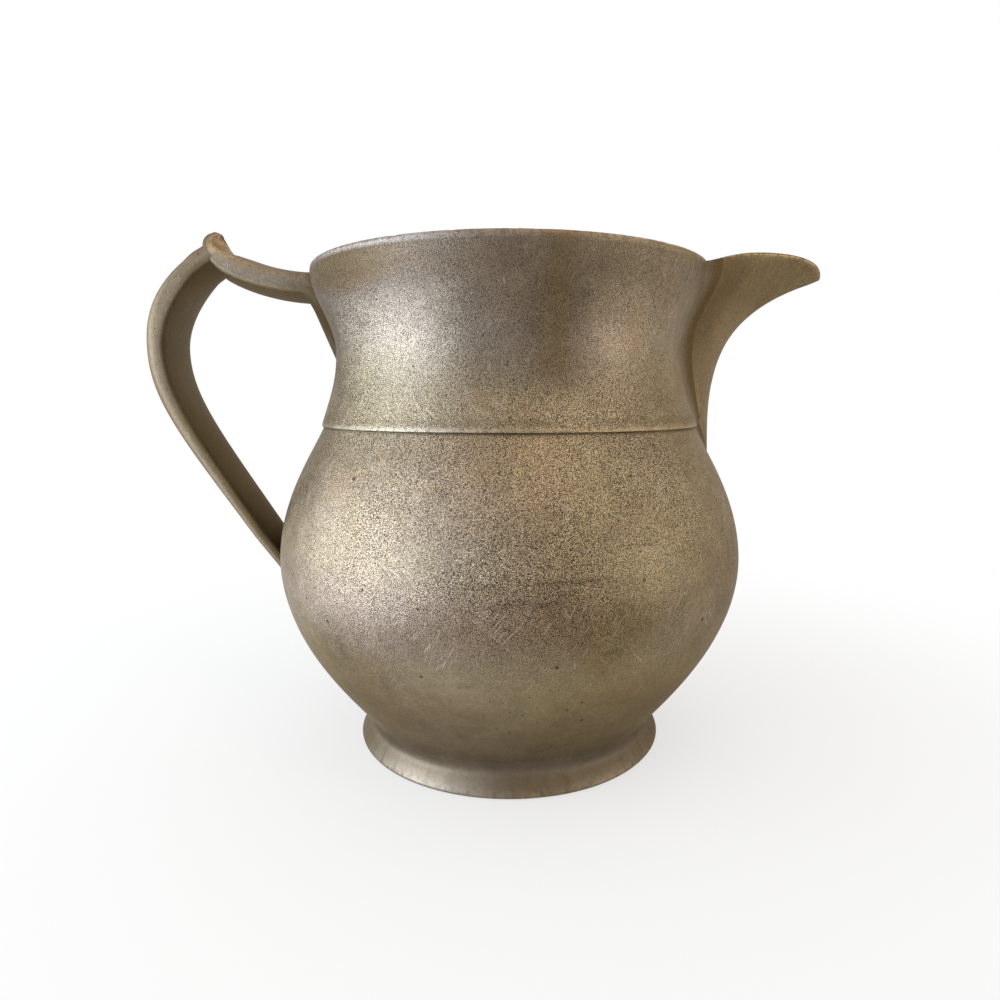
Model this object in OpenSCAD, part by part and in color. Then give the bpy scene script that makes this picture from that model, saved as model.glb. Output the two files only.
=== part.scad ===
// Pewter pitcher: castings turned, lapped and soldered together.
// Origin on the body axis at the resting plane of the foot, +Z up, +X towards the spout, millimetres.

/* [Body] */
// Height of the rim above the table
rim_z = 152.4; // [145:0.1:160]
// Outer radius at the rim
rim_r = 62.3; // [59:0.1:66]
// Height of the narrowest line of the neck
waist_z = 127; // [122:0.5:131]
// Outer radius at the narrowest line of the neck
waist_r = 55.4; // [53:0.1:58]
// Height of the collar line, where the neck sits on the belly
collar_z = 104; // [100:0.5:108]
// Outer radius of the neck's lower edge
collar_r = 60.6; // [60:0.1:62]
// How far the neck's lower edge stands proud of the belly
collar_step = 0.7; // [0.3:0.05:1.2]
// Height of the widest line of the belly
belly_z = 62; // [57:0.5:66]
// Outer radius at the widest line
belly_r = 74.65; // [71:0.05:79]
// Wall thickness of the castings
wall = 2.2; // [1.8:0.1:2.6]

/* [Body curves] */
// Length of upright run below the widest line
low_pull = 25; // [18:0.5:30]
// Length of upright run above the widest line
high_pull = 19.7; // [14:0.1:25]
// Length of straight run where the belly meets the foot
base_pull = 7; // [4:0.5:10]
// Steepness of the belly where it meets the foot
base_lean = 62; // [55:1:75]
// Length of straight run under the collar
shoulder_pull = 5.9; // [3:0.1:9]
// Steepness of the belly under the collar
shoulder_lean = 69.5; // [62:0.5:80]
// Length of straight run above the collar
collar_pull = 6.1; // [3:0.1:9]
// Steepness of the neck above the collar
collar_lean = 76; // [68:1:84]
// Length of upright run below the waist
waist_low_pull = 10.7; // [6:0.1:14]
// Length of upright run above the waist
waist_high_pull = 9.4; // [5:0.1:13]
// Length of run below the rim
rim_pull = 7; // [4:0.5:10]
// How far the flare swells past the rim before it rolls in
rim_swell = 1.1; // [0:0.1:2]

/* [Foot] */
// Outer radius of the foot at its widest
foot_r = 51.1; // [49.5:0.1:54]
// Height of the foot ring
foot_h = 10; // [8:0.5:12]
// Outer radius where the foot meets the belly
foot_top_r = 49.2; // [47.5:0.1:50]
// Rounding of the foot's lower edge
foot_edge = 0.9; // [0.6:0.1:1.5]
// Length of run below the belly before the foot turns out
foot_hollow = 7.5; // [5:0.1:8.5]
// Length of run with which the foot flares out to its lower edge
foot_flare = 3; // [2:0.1:4]
// Slope of the flare at the lower edge
flare_lean = 20; // [12:1:30]
// Width of the ring that rests on the table
foot_land = 3.2; // [2:0.1:4.5]
// Thickness of the flange inside the foot
flange_t = 2.4; // [1.6:0.1:3.2]
// Width of the flange that carries the base disc
flange_w = 7; // [4.5:0.1:10]
// Thickness of the base disc
base_t = 2.2; // [1.6:0.1:3]
// Leg of the solder fillet round the base disc
base_fillet = 2; // [1.2:0.1:3]

/* [Joints] */
// Gap left for solder between lapped castings
solder_gap = 0.1; // [0.05:0.01:0.2]
// Gap left for solder under the spout and the handle
skin_gap = 0.15; // [0.1:0.01:0.3]
// Height of the lap under the collar
collar_lap = 4; // [2.5:0.1:5]
// Thickness of the neck's lower edge outside the lap
collar_edge = 2; // [1.7:0.1:2.3]
// Thickness of the belly's spigot inside the lap
spigot_wall = 1.6; // [1.2:0.1:2]
// Height of the lap at the widest line
belly_lap = 4; // [2.5:0.1:6]
// Thickness of the belly's outer lip at the widest line
belly_lip = 1.1; // [0.7:0.05:1.3]

/* [Spout] */
// How far the tip reaches past the rim
spout_reach = 38.7; // [32:0.1:44]
// How far the tip hangs below the rim
tip_drop = 2.1; // [1:0.1:4]
// Half the width of the spout at the rim
spout_half = 22.5; // [20:0.1:25]
// Half the width of the spout at the waist
spout_mid_half = 18; // [15:0.1:20]
// Half the width of the spout near its lower end
spout_low_half = 14; // [10:0.1:16]
// How far the spout runs down below the collar
spout_tail = 11; // [7:0.1:14]
// Wall thickness of the spout
spout_wall = 2; // [1.6:0.1:2.4]
// How far the keel stands out from the waist
keel_stand = 9; // [8:0.1:12]
// How far the keel has swung out where it turns to the tip
keel_swing = 12.1; // [9.5:0.1:15]
// Height below the tip at which the keel turns outwards
keel_turn = 9.6; // [7:0.1:12]
// Length of the run over which the lower end widens
tail_turn = 4; // [2:0.1:6]
// Half the width left at the lower end
tail_half = 1.5; // [1:0.1:2.5]
// How far the lower end stands out from the belly
tail_stand = 0.6; // [0.4:0.05:1]
// Length of the upright run of the keel above its lower end
keel_pull = 29; // [22:0.5:34]
// Rise of the top edge near the neck
lip_rise = 4.5; // [2:0.1:6]
// Rise of the top edge near the tip
tip_rise = 7.8; // [6:0.1:11]
// Half the width of the rounded tip
tip_half = 5; // [3.5:0.1:6.5]
// Rounding of the spout's top edge
lip_round = 0.5; // [0.2:0.05:0.8]
// Land between the neck's cut-out and the edge of the spout
mouth_land = 3.5; // [2.5:0.1:5]
// Height of the cut-out's lower point above the collar
mouth_rise = 7; // [5.5:0.5:12]
// Leg of the solder fillet beside the spout, at the rim
spout_fillet = 6.5; // [4:0.1:8]
// Leg of the solder fillet at its lower end
spout_fillet_low = 2.6; // [1.5:0.1:3.5]

/* [Handle] */
// Half the width of the handle strap
strap_half = 10; // [8:0.1:11]
// Distance of the arm's middle below the rim
arm_drop = 4.4; // [4.2:0.1:7]
// How far the arm reaches out from the neck
arm_reach = 35.5; // [32:0.5:39]
// Rise of the arm at its bend
arm_rise = 7; // [5:0.1:9]
// Rise of the thumb spur's tip above the arm's root
spur_rise = 16.3; // [15:0.1:19]
// How far the spur's tip leans back towards the neck
spur_lean = 4.2; // [2:0.1:5]
// Length of the level run where the arm leaves the neck
arm_level = 15; // [10:0.1:20]
// Height of the arm's side face
arm_side = 5.8; // [4.5:0.1:6.5]
// Crown of the arm's top face
arm_crown = 1.8; // [1:0.1:2.5]
// Crown of the arm's underside
arm_belly = 1.9; // [1:0.1:2.4]
// Thickness left at the spur's tip
spur_side = 2.4; // [1.6:0.1:3]
// Depth of the dish in the spur's thumb face
spur_dish = 0.7; // [0.2:0.1:1]
// Crown of the spur's back
spur_crown = 0.8; // [0.4:0.1:1.4]
// Height of the tongue that runs down the neck under the arm
tongue_h = 27; // [20:0.1:28]
// How far the grip stands out from the neck
grip_stand = 50.7; // [46:0.1:56]
// Distance of the grip's outermost point below the arm's root
grip_fall = 19.7; // [17:0.1:23]
// Thickness of the grip where it leaves the arm
grip_head_t = 4.8; // [4:0.1:6]
// Thickness of the grip at its bend
grip_t = 8.3; // [7:0.1:9.5]
// Thickness of the grip at its lower end
grip_end_t = 5.1; // [4.2:0.1:6]
// Height of the grip's lower joint below the widest line
grip_low = 5.7; // [4:0.1:10]
// Depth over which the grip's inner edges are rounded
grip_edge = 2; // [1.4:0.1:2.6]
// Flat left on the grip's sides
grip_side = 0.8; // [0.5:0.1:1.2]
// Length of the run out from the arm before the grip turns down
head_pull = 7.9; // [6:0.1:11]
// Slope of the grip where it leaves the arm
head_lean = 34; // [20:1:45]
// Length of upright run above the grip's outermost point
bend_high = 12.8; // [9:0.1:16]
// Length of upright run below the grip's outermost point
bend_low = 17.3; // [11:0.1:19]
// Length of straight run above the grip's lower end
grip_straight = 51; // [44:0.5:56]
// Lean of the straight run from upright
grip_lean = 33.5; // [30:0.5:37]

/* [Hidden] */
$fn = 120;

pewter = "#8d8778";
pewter_light = "#9b9586";
pewter_dark = "#736d5e";
solder_grey = "#84806f";

// Cubic curve through four control points, its direction, and the place where it passes a height
function bez(c, t) = pow(1 - t, 3) * c[0] + 3 * t * pow(1 - t, 2) * c[1]
                     + 3 * t * t * (1 - t) * c[2] + pow(t, 3) * c[3];
function bez_dir(c, t) = pow(1 - t, 2) * (c[1] - c[0]) + 2 * t * (1 - t) * (c[2] - c[1])
                         + t * t * (c[3] - c[2]);
function t_at(c, z, lo = 0, hi = 1, n = 30) =
    let (mid = (lo + hi) / 2, rising = c[3][1] > c[0][1])
    n == 0 ? mid
    : (bez(c, mid)[1] < z) == rising ? t_at(c, z, mid, hi, n - 1) : t_at(c, z, lo, mid, n - 1);
function steps(n, a = 0, b = 1) = [for (i = [0 : n]) a + (b - a) * i / n];
function flip(list) = [for (i = [len(list) - 1 : -1 : 0]) list[i]];
function mix(a, b, f) = a + (b - a) * f;
function unit(v) = v / norm(v);

// Outline of the turned body, as radius and height
shoulder_r = collar_r - collar_step;
rim_edge = wall / 2;
curve_steps = 12;
belly_low = [[belly_r, belly_z],
             [belly_r, belly_z - low_pull],
             [foot_top_r + base_pull * cos(base_lean), foot_h + base_pull * sin(base_lean)],
             [foot_top_r, foot_h]];
belly_high = [[belly_r, belly_z],
              [belly_r, belly_z + high_pull],
              [shoulder_r + shoulder_pull * cos(shoulder_lean),
               collar_z - shoulder_pull * sin(shoulder_lean)],
              [shoulder_r, collar_z]];
neck_low = [[collar_r, collar_z],
            [collar_r - collar_pull * cos(collar_lean), collar_z + collar_pull * sin(collar_lean)],
            [waist_r, waist_z - waist_low_pull],
            [waist_r, waist_z]];
neck_high = [[waist_r, waist_z],
             [waist_r, waist_z + waist_high_pull],
             [rim_r + rim_swell, rim_z - rim_edge - rim_pull],
             [rim_r, rim_z - rim_edge]];
function body_r(z) =
    let (c = z >= waist_z ? neck_high : z >= collar_z ? neck_low : z >= belly_z ? belly_high : belly_low)
    bez(c, t_at(c, z))[0];
function outside(c, a = 0, b = 1) = [for (t = steps(curve_steps, a, b)) bez(c, t)];
// Inner face of a wall of even thickness, at the same heights as the outer face
function inside_at(c, t) =
    let (p = bez(c, t), d = bez_dir(c, t))
    [p[0] - wall * sqrt(1 + pow(d[0] / d[1], 2)), p[1]];
function inside(c, a = 0, b = 1) = [for (t = steps(curve_steps, a, b)) inside_at(c, t)];
function arc(centre, r, from, to, n = 8) =
    [for (a = steps(n, from, to)) centre + r * [cos(a), sin(a)]];

socket_r = collar_r - collar_edge;
spigot_r = socket_r - solder_gap;
lip_r = belly_r - belly_lip;
base_hole_r = inside_at(belly_low, 1)[0];
base_r = base_hole_r - solder_gap;
base_top = foot_h + base_t;

// A closed skin over rings of points. Each ring goes along one face and back along the other,
// so that both ends close with a strip.
module loft(rings) {
    n = len(rings[0]);
    half = n / 2;
    last = (len(rings) - 1) * n;
    sides = [for (j = [0 : len(rings) - 2], i = [0 : n - 1])
             let (a = j * n + i, b = j * n + (i + 1) % n)
             each [[a, b, b + n], [a, b + n, a + n]]];
    ends = [for (i = [0 : half - 2])
            let (a = i, b = i + 1, c = n - 2 - i, d = n - 1 - i)
            each [[a, d, c], [a, c, b], [last + a, last + b, last + c], [last + a, last + c, last + d]]];
    polyhedron(points = [for (r = rings) each r], faces = concat(sides, ends));
}

module turned(outline) {
    rotate_extrude()
        polygon(outline);
}

// Foot ring: a skirt that carries on the belly's slope and flares out, with an inner flange
foot_curve = [[foot_top_r, foot_h],
              [foot_top_r, foot_h] - foot_hollow * [cos(base_lean), sin(base_lean)],
              [foot_r, foot_edge] + foot_flare * [-cos(flare_lean), sin(flare_lean)],
              [foot_r, foot_edge]];
skirt = foot_edge + foot_land;
flange_z = foot_h - flange_t;

module foot_ring() {
    skirt_in = [for (p = outside(foot_curve, t_at(foot_curve, flange_z), 1)) p - [skirt, 0]];
    color(pewter_light)
        turned(concat(
            outside(foot_curve),
            arc([foot_r - foot_edge, foot_edge], foot_edge, 0, -90),
            [[foot_r - skirt, 0]],
            flip(skirt_in),
            [[foot_top_r - flange_w, flange_z], [foot_top_r - flange_w, foot_h]]));
}

// Base disc: closes the belly and rests on the foot's flange
module base_disc() {
    color(pewter_dark)
        translate([0, 0, foot_h])
            cylinder(h = base_t, r = base_r);
}

// Solder fillet between the base disc and the belly wall
module base_solder() {
    fillet_top = base_top + base_fillet;
    wall_r = function (z) inside_at(belly_low, t_at(belly_low, z))[0] - solder_gap;
    color(solder_grey)
        turned([[base_r - base_fillet, base_top],
                [wall_r(base_top), base_top],
                [wall_r(base_top + base_fillet / 2), base_top + base_fillet / 2],
                [wall_r(fillet_top), fillet_top],
                [wall_r(base_top) - base_fillet / 2, base_top + base_fillet / 3]]);
}

// Lower half of the belly, rebated inside at the widest line
t_low_lap = t_at(belly_low, belly_z - belly_lap);

module lower_belly() {
    color(pewter)
        turned(concat(
            flip(outside(belly_low)),
            [[lip_r, belly_z], [lip_r, belly_z - belly_lap]],
            inside(belly_low, t_low_lap, 1)));
}

// Upper half of the belly, with a lip inside the lower half and a spigot inside the neck
t_lip = t_at(belly_low, belly_z - belly_lap + solder_gap);
t_spigot = t_at(belly_high, collar_z - collar_lap);
spigot_top = collar_z + collar_lap - solder_gap;

module upper_belly() {
    lip_in = inside_at(belly_low, t_lip);
    color(pewter)
        turned(concat(
            outside(belly_high),
            [[spigot_r, collar_z], [spigot_r, spigot_top], [spigot_r - spigot_wall, spigot_top],
             [spigot_r - spigot_wall, collar_z]],
            flip(inside(belly_high, 0, t_spigot)),
            [lip_in, [lip_r - solder_gap, lip_in[1]], [lip_r - solder_gap, belly_z]]));
}

// Neck: socket over the belly's spigot, flared rim with a round edge, cut out behind the spout
t_socket = t_at(neck_low, collar_z + collar_lap);
mouth_half = spout_half - mouth_land;

module neck() {
    color(pewter)
        difference() {
            turned(concat(
                outside(neck_low),
                outside(neck_high),
                arc([rim_r - rim_edge, rim_z - rim_edge], rim_edge, 0, 180),
                flip(inside(neck_high)),
                flip(inside(neck_low, t_socket, 1)),
                [[socket_r, collar_z + collar_lap], [socket_r, collar_z]]));
            translate([waist_r / 2, 0, 0])
                rotate([90, 0, 90])
                    linear_extrude(height = waist_r)
                        polygon([[0, collar_z + mouth_rise],
                                 [mouth_half, rim_z + wall],
                                 [-mouth_half, rim_z + wall]]);
        }
}

// Spout: edge line on the body, keel line in the middle plane, and level lines between the two
tail_z = collar_z - spout_tail;
tip_z = rim_z - tip_drop;
edge_curve = [[tail_half, tail_z],
              [spout_low_half, tail_z + tail_turn],
              [spout_mid_half, waist_z],
              [spout_half, rim_z]];
keel_curve = [[body_r(tail_z) + tail_stand, tail_z],
              [waist_r + keel_stand, tail_z + keel_pull],
              [waist_r + keel_swing, tip_z - keel_turn],
              [rim_r + spout_reach, tip_z]];
// Shares that shape a level line near the edge, the slope of the lip at the tip,
// and the powers at which the top edge rises and levels out
side_lead_share = 0.33;
side_draw_share = 0.78;
lip_slope = 0.8;
rise_power = 3;
level_power = 8;
function on_body(y, z, gap, side = 1) = [side * (sqrt(pow(body_r(z), 2) - y * y) + gap), y, z];
// Level line from the edge at half width y to the keel, for one height along the spout
function level(t, inset) =
    let (edge = bez(edge_curve, t),
         keel = bez(keel_curve, t),
         along = unit(bez_dir(keel_curve, t)),
         up = mix(along[0], lip_slope, pow(t, level_power)),
         root = on_body(edge[0] - inset, edge[1], skin_gap),
         nose = [keel[0] - inset * sqrt(1 - up * up), 0, keel[1] + inset * up],
         lead = mix(root, nose, side_lead_share))
    [root,
     [lead[0], root[1] * side_draw_share, lead[2] + lip_rise * pow(t, rise_power)],
     [nose[0], mix(tail_half, tip_half, t) * root[1] / edge[0], keel[1] + tip_rise * pow(t, rise_power)],
     nose];
// Points across the spout and rows along it. One row lies just above the collar, so that the spout clears
// its step, and at another the spout opens into the neck's cut-out.
spout_cols = 12;
tail_rows = 7;
spout_rows = 22;
pocket_row = 10;
t_collar = t_at(edge_curve, collar_z + skin_gap);
function spout_place(j) =
    j < tail_rows ? t_collar * j / tail_rows : mix(t_collar, 1, (j - tail_rows) / (spout_rows - tail_rows));
function mirrored(line) =
    concat([for (p = line) [p[0], -p[1], p[2]]],
           [for (i = [len(line) - 2 : -1 : 0]) line[i]]);
function spout_skin(t, inset) = mirrored([for (s = steps(spout_cols)) bez(level(t, inset), s)]);
function spout_back(t) =
    let (edge = bez(edge_curve, t))
    [for (f = steps(2 * spout_cols, -1, 1)) on_body(f * edge[0], edge[1], skin_gap)];
function spout_ring(j) =
    let (t = spout_place(j))
    concat(spout_skin(t, 0), flip(j < pocket_row ? spout_back(t) : spout_skin(t, spout_wall)));
// The last ring draws both faces together, which rounds the top edge
lip_draw_share = 0.22;
function lip_ring(ring) =
    let (n = len(ring))
    [for (i = [0 : n - 1]) mix(ring[i], ring[n - 1 - i], lip_draw_share) + [0, 0, lip_round]];

module spout() {
    rings = [for (j = [0 : spout_rows]) spout_ring(j)];
    color(pewter)
        loft(concat(rings, [lip_ring(rings[spout_rows])]));
}

// Solder fillet round the edge of the spout, from rim to rim
fillet_from_row = 3;
fillet_hollow_share = 0.7;
seat_cols = 3;
function fillet_ring(t) =
    let (line = level(t, 0),
         leg = mix(spout_fillet_low, spout_fillet, t),
         edge = bez(edge_curve, t),
         reach = leg / (norm(line[1] - line[0]) * 3),
         on_neck = function (s) on_body(edge[0] + skin_gap + leg * s, edge[1], skin_gap),
         on_spout = function (s) bez(line, reach * s) + [0, skin_gap, 0],
         foot = on_neck(1),
         top = on_spout(1),
         hollow = mix((foot + top) / 2, on_neck(0), fillet_hollow_share),
         face = [for (s = steps(2 * seat_cols - 1)) mix(mix(foot, hollow, s), mix(hollow, top, s), s)],
         seat = concat([for (i = [seat_cols : -1 : 1]) on_spout(i / (seat_cols + 1))],
                       [for (i = [0 : seat_cols - 1]) on_neck(i / seat_cols)]))
    [for (p = concat(face, seat)) [p[0], -p[1], p[2]]];

module spout_solder() {
    color(solder_grey)
        for (side = [0, 1])
            mirror([0, side, 0])
                loft([for (j = [fillet_from_row : spout_rows]) fillet_ring(spout_place(j))]);
}

// Handle arm: a crowned strap that leaves the neck, bends and curls up into a thumb spur
arm_z = rim_z - arm_drop;
arm_x = -body_r(arm_z);
arm_curve = [[arm_x, arm_z],
             [arm_x - arm_level, arm_z],
             [arm_x - arm_reach, arm_z + arm_rise],
             [arm_x - arm_reach + spur_lean, arm_z + spur_rise]];
strap_cols = 12;
arm_rows = 24;
// Places across the strap, closer together near its sides
function across(i) = sin(-90 + 180 * i / strap_cols);
// Places along the arm where it leaves the neck, where the spur begins and where its tip starts to narrow,
// and the share of the strap's half width that the tip gives up
arm_root_share = 0.045;
spur_from_share = 0.58;
round_from_share = 0.7;
tip_round_share = 0.8;
function share_past(t, from) = max(0, (t - from) / (1 - from));
function spur_share(t) = share_past(t, spur_from_share);
function arm_half(t) = strap_half * (1 - tip_round_share * pow(share_past(t, round_from_share), 2));
function arm_up(t) = let (d = unit(bez_dir(arm_curve, t))) [d[1], -d[0]];
function arm_top(t, f) =
    mix(arm_side, spur_side, spur_share(t)) / 2 + mix(arm_crown, -spur_dish, spur_share(t)) * (1 - f * f);
function arm_under(t, f) =
    mix(arm_side, spur_side, spur_share(t)) / 2 + mix(arm_belly, spur_crown, spur_share(t)) * (1 - f * f);
function arm_at(t, f, lift) =
    let (p = bez(arm_curve, t) + arm_up(t) * lift)
    [p[0], f * arm_half(t), p[1]];
function arm_ring(t) =
    concat([for (i = [0 : strap_cols]) arm_at(t, across(i), arm_top(t, across(i)))],
           [for (i = [strap_cols : -1 : 0]) arm_at(t, across(i), -arm_under(t, across(i)))]);
// The root lies on the neck: the arm's own outline above and the tongue's point below
function root_high(f) = arm_z + arm_side / 2 + arm_crown * (1 - f * f);
function root_low(f) = arm_z - arm_side / 2 - (tongue_h - arm_side) * (1 - abs(f));
function root_ring(shrink) =
    let (pick = function (i, high)
         let (f = across(i),
              mid = (root_high(f) + root_low(f)) / 2)
         on_body(f * strap_half, mix(mid, high ? root_high(f) : root_low(f), shrink), skin_gap, -1))
    concat([for (i = [0 : strap_cols]) pick(i, true)],
           [for (i = [strap_cols : -1 : 0]) pick(i, false)]);
end_shrinks = [0.04, 0.2, 0.4, 0.6, 0.8, 1];

module handle_arm() {
    color(pewter_light)
        loft(concat(
            [for (s = end_shrinks) root_ring(s)],
            [for (t = steps(arm_rows, arm_root_share, 1)) arm_ring(t)]));
}

// Handle grip: a strap with a round back, from under the arm's bend to the widest line of the belly
// Place of its head along the arm, its rows of sections, and the places between which they stand square,
// where 0 is the head, 1 the outermost point and 2 the foot
grip_head_share = 0.76;
high_rows = 10;
long_rows = 14;
head_from_share = 0.15;
bend_from_share = 1.06;
foot_to_share = 1.9;
// Powers that round the back and the inner edges of the section
back_power = 2.2;
inner_power = 4;
grip_z = belly_z - grip_low;
grip_foot = [-body_r(grip_z) - skin_gap, grip_z];
grip_head = bez(arm_curve, grip_head_share)
            - arm_up(grip_head_share) * (arm_under(grip_head_share, 0) + skin_gap);
grip_out = [arm_x - grip_stand, arm_z - grip_fall];
grip_high = [grip_head,
             grip_head - head_pull * [cos(head_lean), sin(head_lean)],
             grip_out + [0, bend_high],
             grip_out];
grip_long = [grip_out,
             grip_out - [0, bend_low],
             grip_foot + grip_straight * [-sin(grip_lean), cos(grip_lean)],
             grip_foot];
function grip_thick(u) =
    mix(grip_t, u < 1 ? grip_head_t : grip_end_t, pow(u - 1, 2));
function grip_point(u) = u < 1 ? bez(grip_high, u) : bez(grip_long, u - 1);
function grip_dir(u) = unit(u < 1 ? bez_dir(grip_high, u) : bez_dir(grip_long, u - 1));
// Depth of the section at a place across the strap: a flat inner face with rounded edges and a round back
function bulge(f, power) = pow(1 - pow(abs(f), power), 1 / power);
function grip_inner(t, f) = t / 2 - grip_edge * (1 - bulge(f, inner_power));
function grip_back(t, f) = -t / 2 + (t - grip_edge - grip_side) * (1 - bulge(f, back_power));
function grip_at(u, f, depth) =
    let (d = grip_dir(u), p = grip_point(u) + depth * [-d[1], d[0]])
    [p[0], f * strap_half, p[1]];
function grip_ring(u) =
    let (t = grip_thick(u))
    concat([for (i = [0 : strap_cols]) grip_at(u, across(i), grip_inner(t, across(i)))],
           [for (i = [strap_cols : -1 : 0]) grip_at(u, across(i), grip_back(t, across(i)))]);
// The upper end follows the underside of the arm's bend
function head_at(f, depth) =
    let (t = grip_head_share - depth / (3 * norm(bez_dir(arm_curve, grip_head_share))))
    let (p = arm_at(t, 0, -arm_under(t, f * strap_half / arm_half(t)) - skin_gap))
    [p[0], f * strap_half, p[2]];
function section_ring(t, shrink, place) =
    let (pick = function (i, inner)
         let (f = across(i),
              face = grip_inner(t, f),
              back = grip_back(t, f))
         place(f, mix((face + back) / 2, inner ? face : back, shrink)))
    concat([for (i = [0 : strap_cols]) pick(i, true)],
           [for (i = [strap_cols : -1 : 0]) pick(i, false)]);
// The lower end follows the belly
foot_lean = abs(grip_dir(2)[0]);
function foot_at(f, depth) = on_body(f * strap_half, grip_z + depth / foot_lean, skin_gap, -1);

module handle_grip() {
    color(pewter_light)
        loft(concat(
            [for (s = end_shrinks) section_ring(grip_head_t, s, function (f, d) head_at(f, d))],
            [for (u = steps(high_rows, head_from_share, 1)) grip_ring(u)],
            [for (u = steps(long_rows, bend_from_share, foot_to_share)) grip_ring(u)],
            [for (s = flip(end_shrinks)) section_ring(grip_end_t, s, function (f, d) foot_at(f, d))]));
}

foot_ring();
base_disc();
base_solder();
lower_belly();
upper_belly();
neck();
spout();
spout_solder();
handle_arm();
handle_grip();
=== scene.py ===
import math
from types import SimpleNamespace

import bmesh
import bpy
import numpy as np
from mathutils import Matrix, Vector, noise


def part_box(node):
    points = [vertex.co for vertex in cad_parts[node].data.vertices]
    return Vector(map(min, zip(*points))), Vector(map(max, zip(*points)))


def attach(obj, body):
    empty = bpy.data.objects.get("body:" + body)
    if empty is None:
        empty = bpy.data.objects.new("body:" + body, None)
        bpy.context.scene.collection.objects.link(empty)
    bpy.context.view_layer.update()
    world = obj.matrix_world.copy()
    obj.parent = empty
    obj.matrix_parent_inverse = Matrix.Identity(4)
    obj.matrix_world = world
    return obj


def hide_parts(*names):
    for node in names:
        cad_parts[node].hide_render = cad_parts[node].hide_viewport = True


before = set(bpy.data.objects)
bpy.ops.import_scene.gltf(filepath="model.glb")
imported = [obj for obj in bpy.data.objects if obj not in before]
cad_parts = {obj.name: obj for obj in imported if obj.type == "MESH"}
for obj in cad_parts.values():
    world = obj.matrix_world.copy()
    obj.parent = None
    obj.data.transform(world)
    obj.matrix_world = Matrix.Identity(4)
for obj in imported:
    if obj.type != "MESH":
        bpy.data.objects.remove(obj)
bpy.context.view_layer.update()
scene = bpy.context.scene
scene.view_settings.view_transform = "Standard"

# Sizes of the pitcher in millimetres, with the origin on the body axis at the resting plane.
MM = 0.001
RIM_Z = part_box("neck")[1].z / MM
COLLAR_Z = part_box("neck")[0].z / MM
BELLY_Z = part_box("lower_belly")[1].z / MM
FOOT_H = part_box("foot_ring")[1].z / MM
BASE_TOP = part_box("base_disc")[1].z / MM
RIM_R = 62.3
WAIST_Z = 127
WAIST_R = 55.4
COLLAR_R = 60.6
COLLAR_STEP = 0.7
BELLY_R = 74.65
WALL = 2.2
RIM_EDGE = WALL / 2
SHOULDER_R = COLLAR_R - COLLAR_STEP

# Pulls of the body's curves, with leans in degrees from level or, for the flare, from upright
LOW_PULL = 25
HIGH_PULL = 19.7
BASE_PULL = 7
BASE_LEAN = 62
SHOULDER_PULL = 5.9
SHOULDER_LEAN = 69.5
COLLAR_PULL = 6.1
COLLAR_LEAN = 76
WAIST_LOW_PULL = 10.7
WAIST_HIGH_PULL = 9.4
RIM_PULL = 7
RIM_SWELL = 1.1
FOOT_HOLLOW = 5.8
FOOT_FLARE = 5.2
FLARE_LEAN = 22

# Foot, base and laps
FOOT_R = 51.1
FOOT_TOP_R = 49.2
FOOT_EDGE = 0.9
FOOT_CORNER = 0.4
SKIRT = 4.1
FLANGE_T = 2.4
FLANGE_W = 7
BASE_FILLET = 2
FILLET_SAG = -0.5, 0.4
SOLDER_GAP = 0.1
SKIN_GAP = 0.15
SEAT = -0.2
COLLAR_LAP = 4
COLLAR_EDGE = 2
COLLAR_CHAMFER = 0.35
SPIGOT_WALL = 1.6
BELLY_LAP = 4
BELLY_LIP = 1.1

# Turning marks on the base: depth, inset of its faces and radians of their wave per millimetre
RING_DEPTH = 0.05
RING_INSET = 0.06
RING_WAVE = 2.1

# Spout
SPOUT_REACH = 38.7
SPOUT_HALF = 22.5
SPOUT_MID_HALF = 18
SPOUT_LOW_HALF = 14
SPOUT_WALL = 2
TIP_Z = RIM_Z - 2.1
TIP_HALF = 5
TIP_RISE = 7.8
LIP_RISE = 4.5
TAIL_Z = COLLAR_Z - 11
TAIL_HALF = 1.5
TAIL_TURN = 4
TAIL_STAND = 0.6
KEEL_STAND = 9
KEEL_PULL = 29
KEEL_SWING = 12.1
KEEL_TURN = 9.6
MOUTH_LAND = 3.5
MOUTH_HALF = SPOUT_HALF - MOUTH_LAND
MOUTH_Z = COLLAR_Z + 7
MOUTH_TOP = RIM_Z + WALL
FILLET_LOW = 2.6
FILLET_HIGH = 5.2

# Handle
STRAP_HALF = 10
ARM_Z = RIM_Z - 4.4
ARM_LEVEL = 15
ARM_REACH = 35.5
ARM_RISE = 7
ARM_SIDE = 5.2
ARM_CROWN = 2.1
ARM_BELLY = 2.2
ARM_CORNER = 1.0
SPUR_LEAN = 4.2
SPUR_RISE = 16.3
SPUR_SIDE = 1.9
SPUR_DISH = 1.0
SPUR_CROWN = 0.8
SPUR_CORNER = 0.5
TONGUE_H = 27
GRIP_STAND = 50.7
GRIP_FALL = 19.7
GRIP_HEAD_T = 4.8
GRIP_T = 8.3
GRIP_END_T = 5.1
GRIP_EDGE = 2
GRIP_SIDE = 0.8
GRIP_Z = BELLY_Z - 5.7
GRIP_LEAN = 33.5
GRIP_STRAIGHT = 51
HEAD_PULL = 7.9
HEAD_LEAN = 34
BEND_HIGH = 12.8
BEND_LOW = 17.3


# Curves

def bez(c, t):
    """Points of a cubic curve at the places t."""
    c = np.asarray(c, float)
    t = np.asarray(t, float)[..., None]
    return (1 - t) ** 3 * c[0] + 3 * t * (1 - t) ** 2 * c[1] + 3 * t * t * (1 - t) * c[2] + t ** 3 * c[3]


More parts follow.
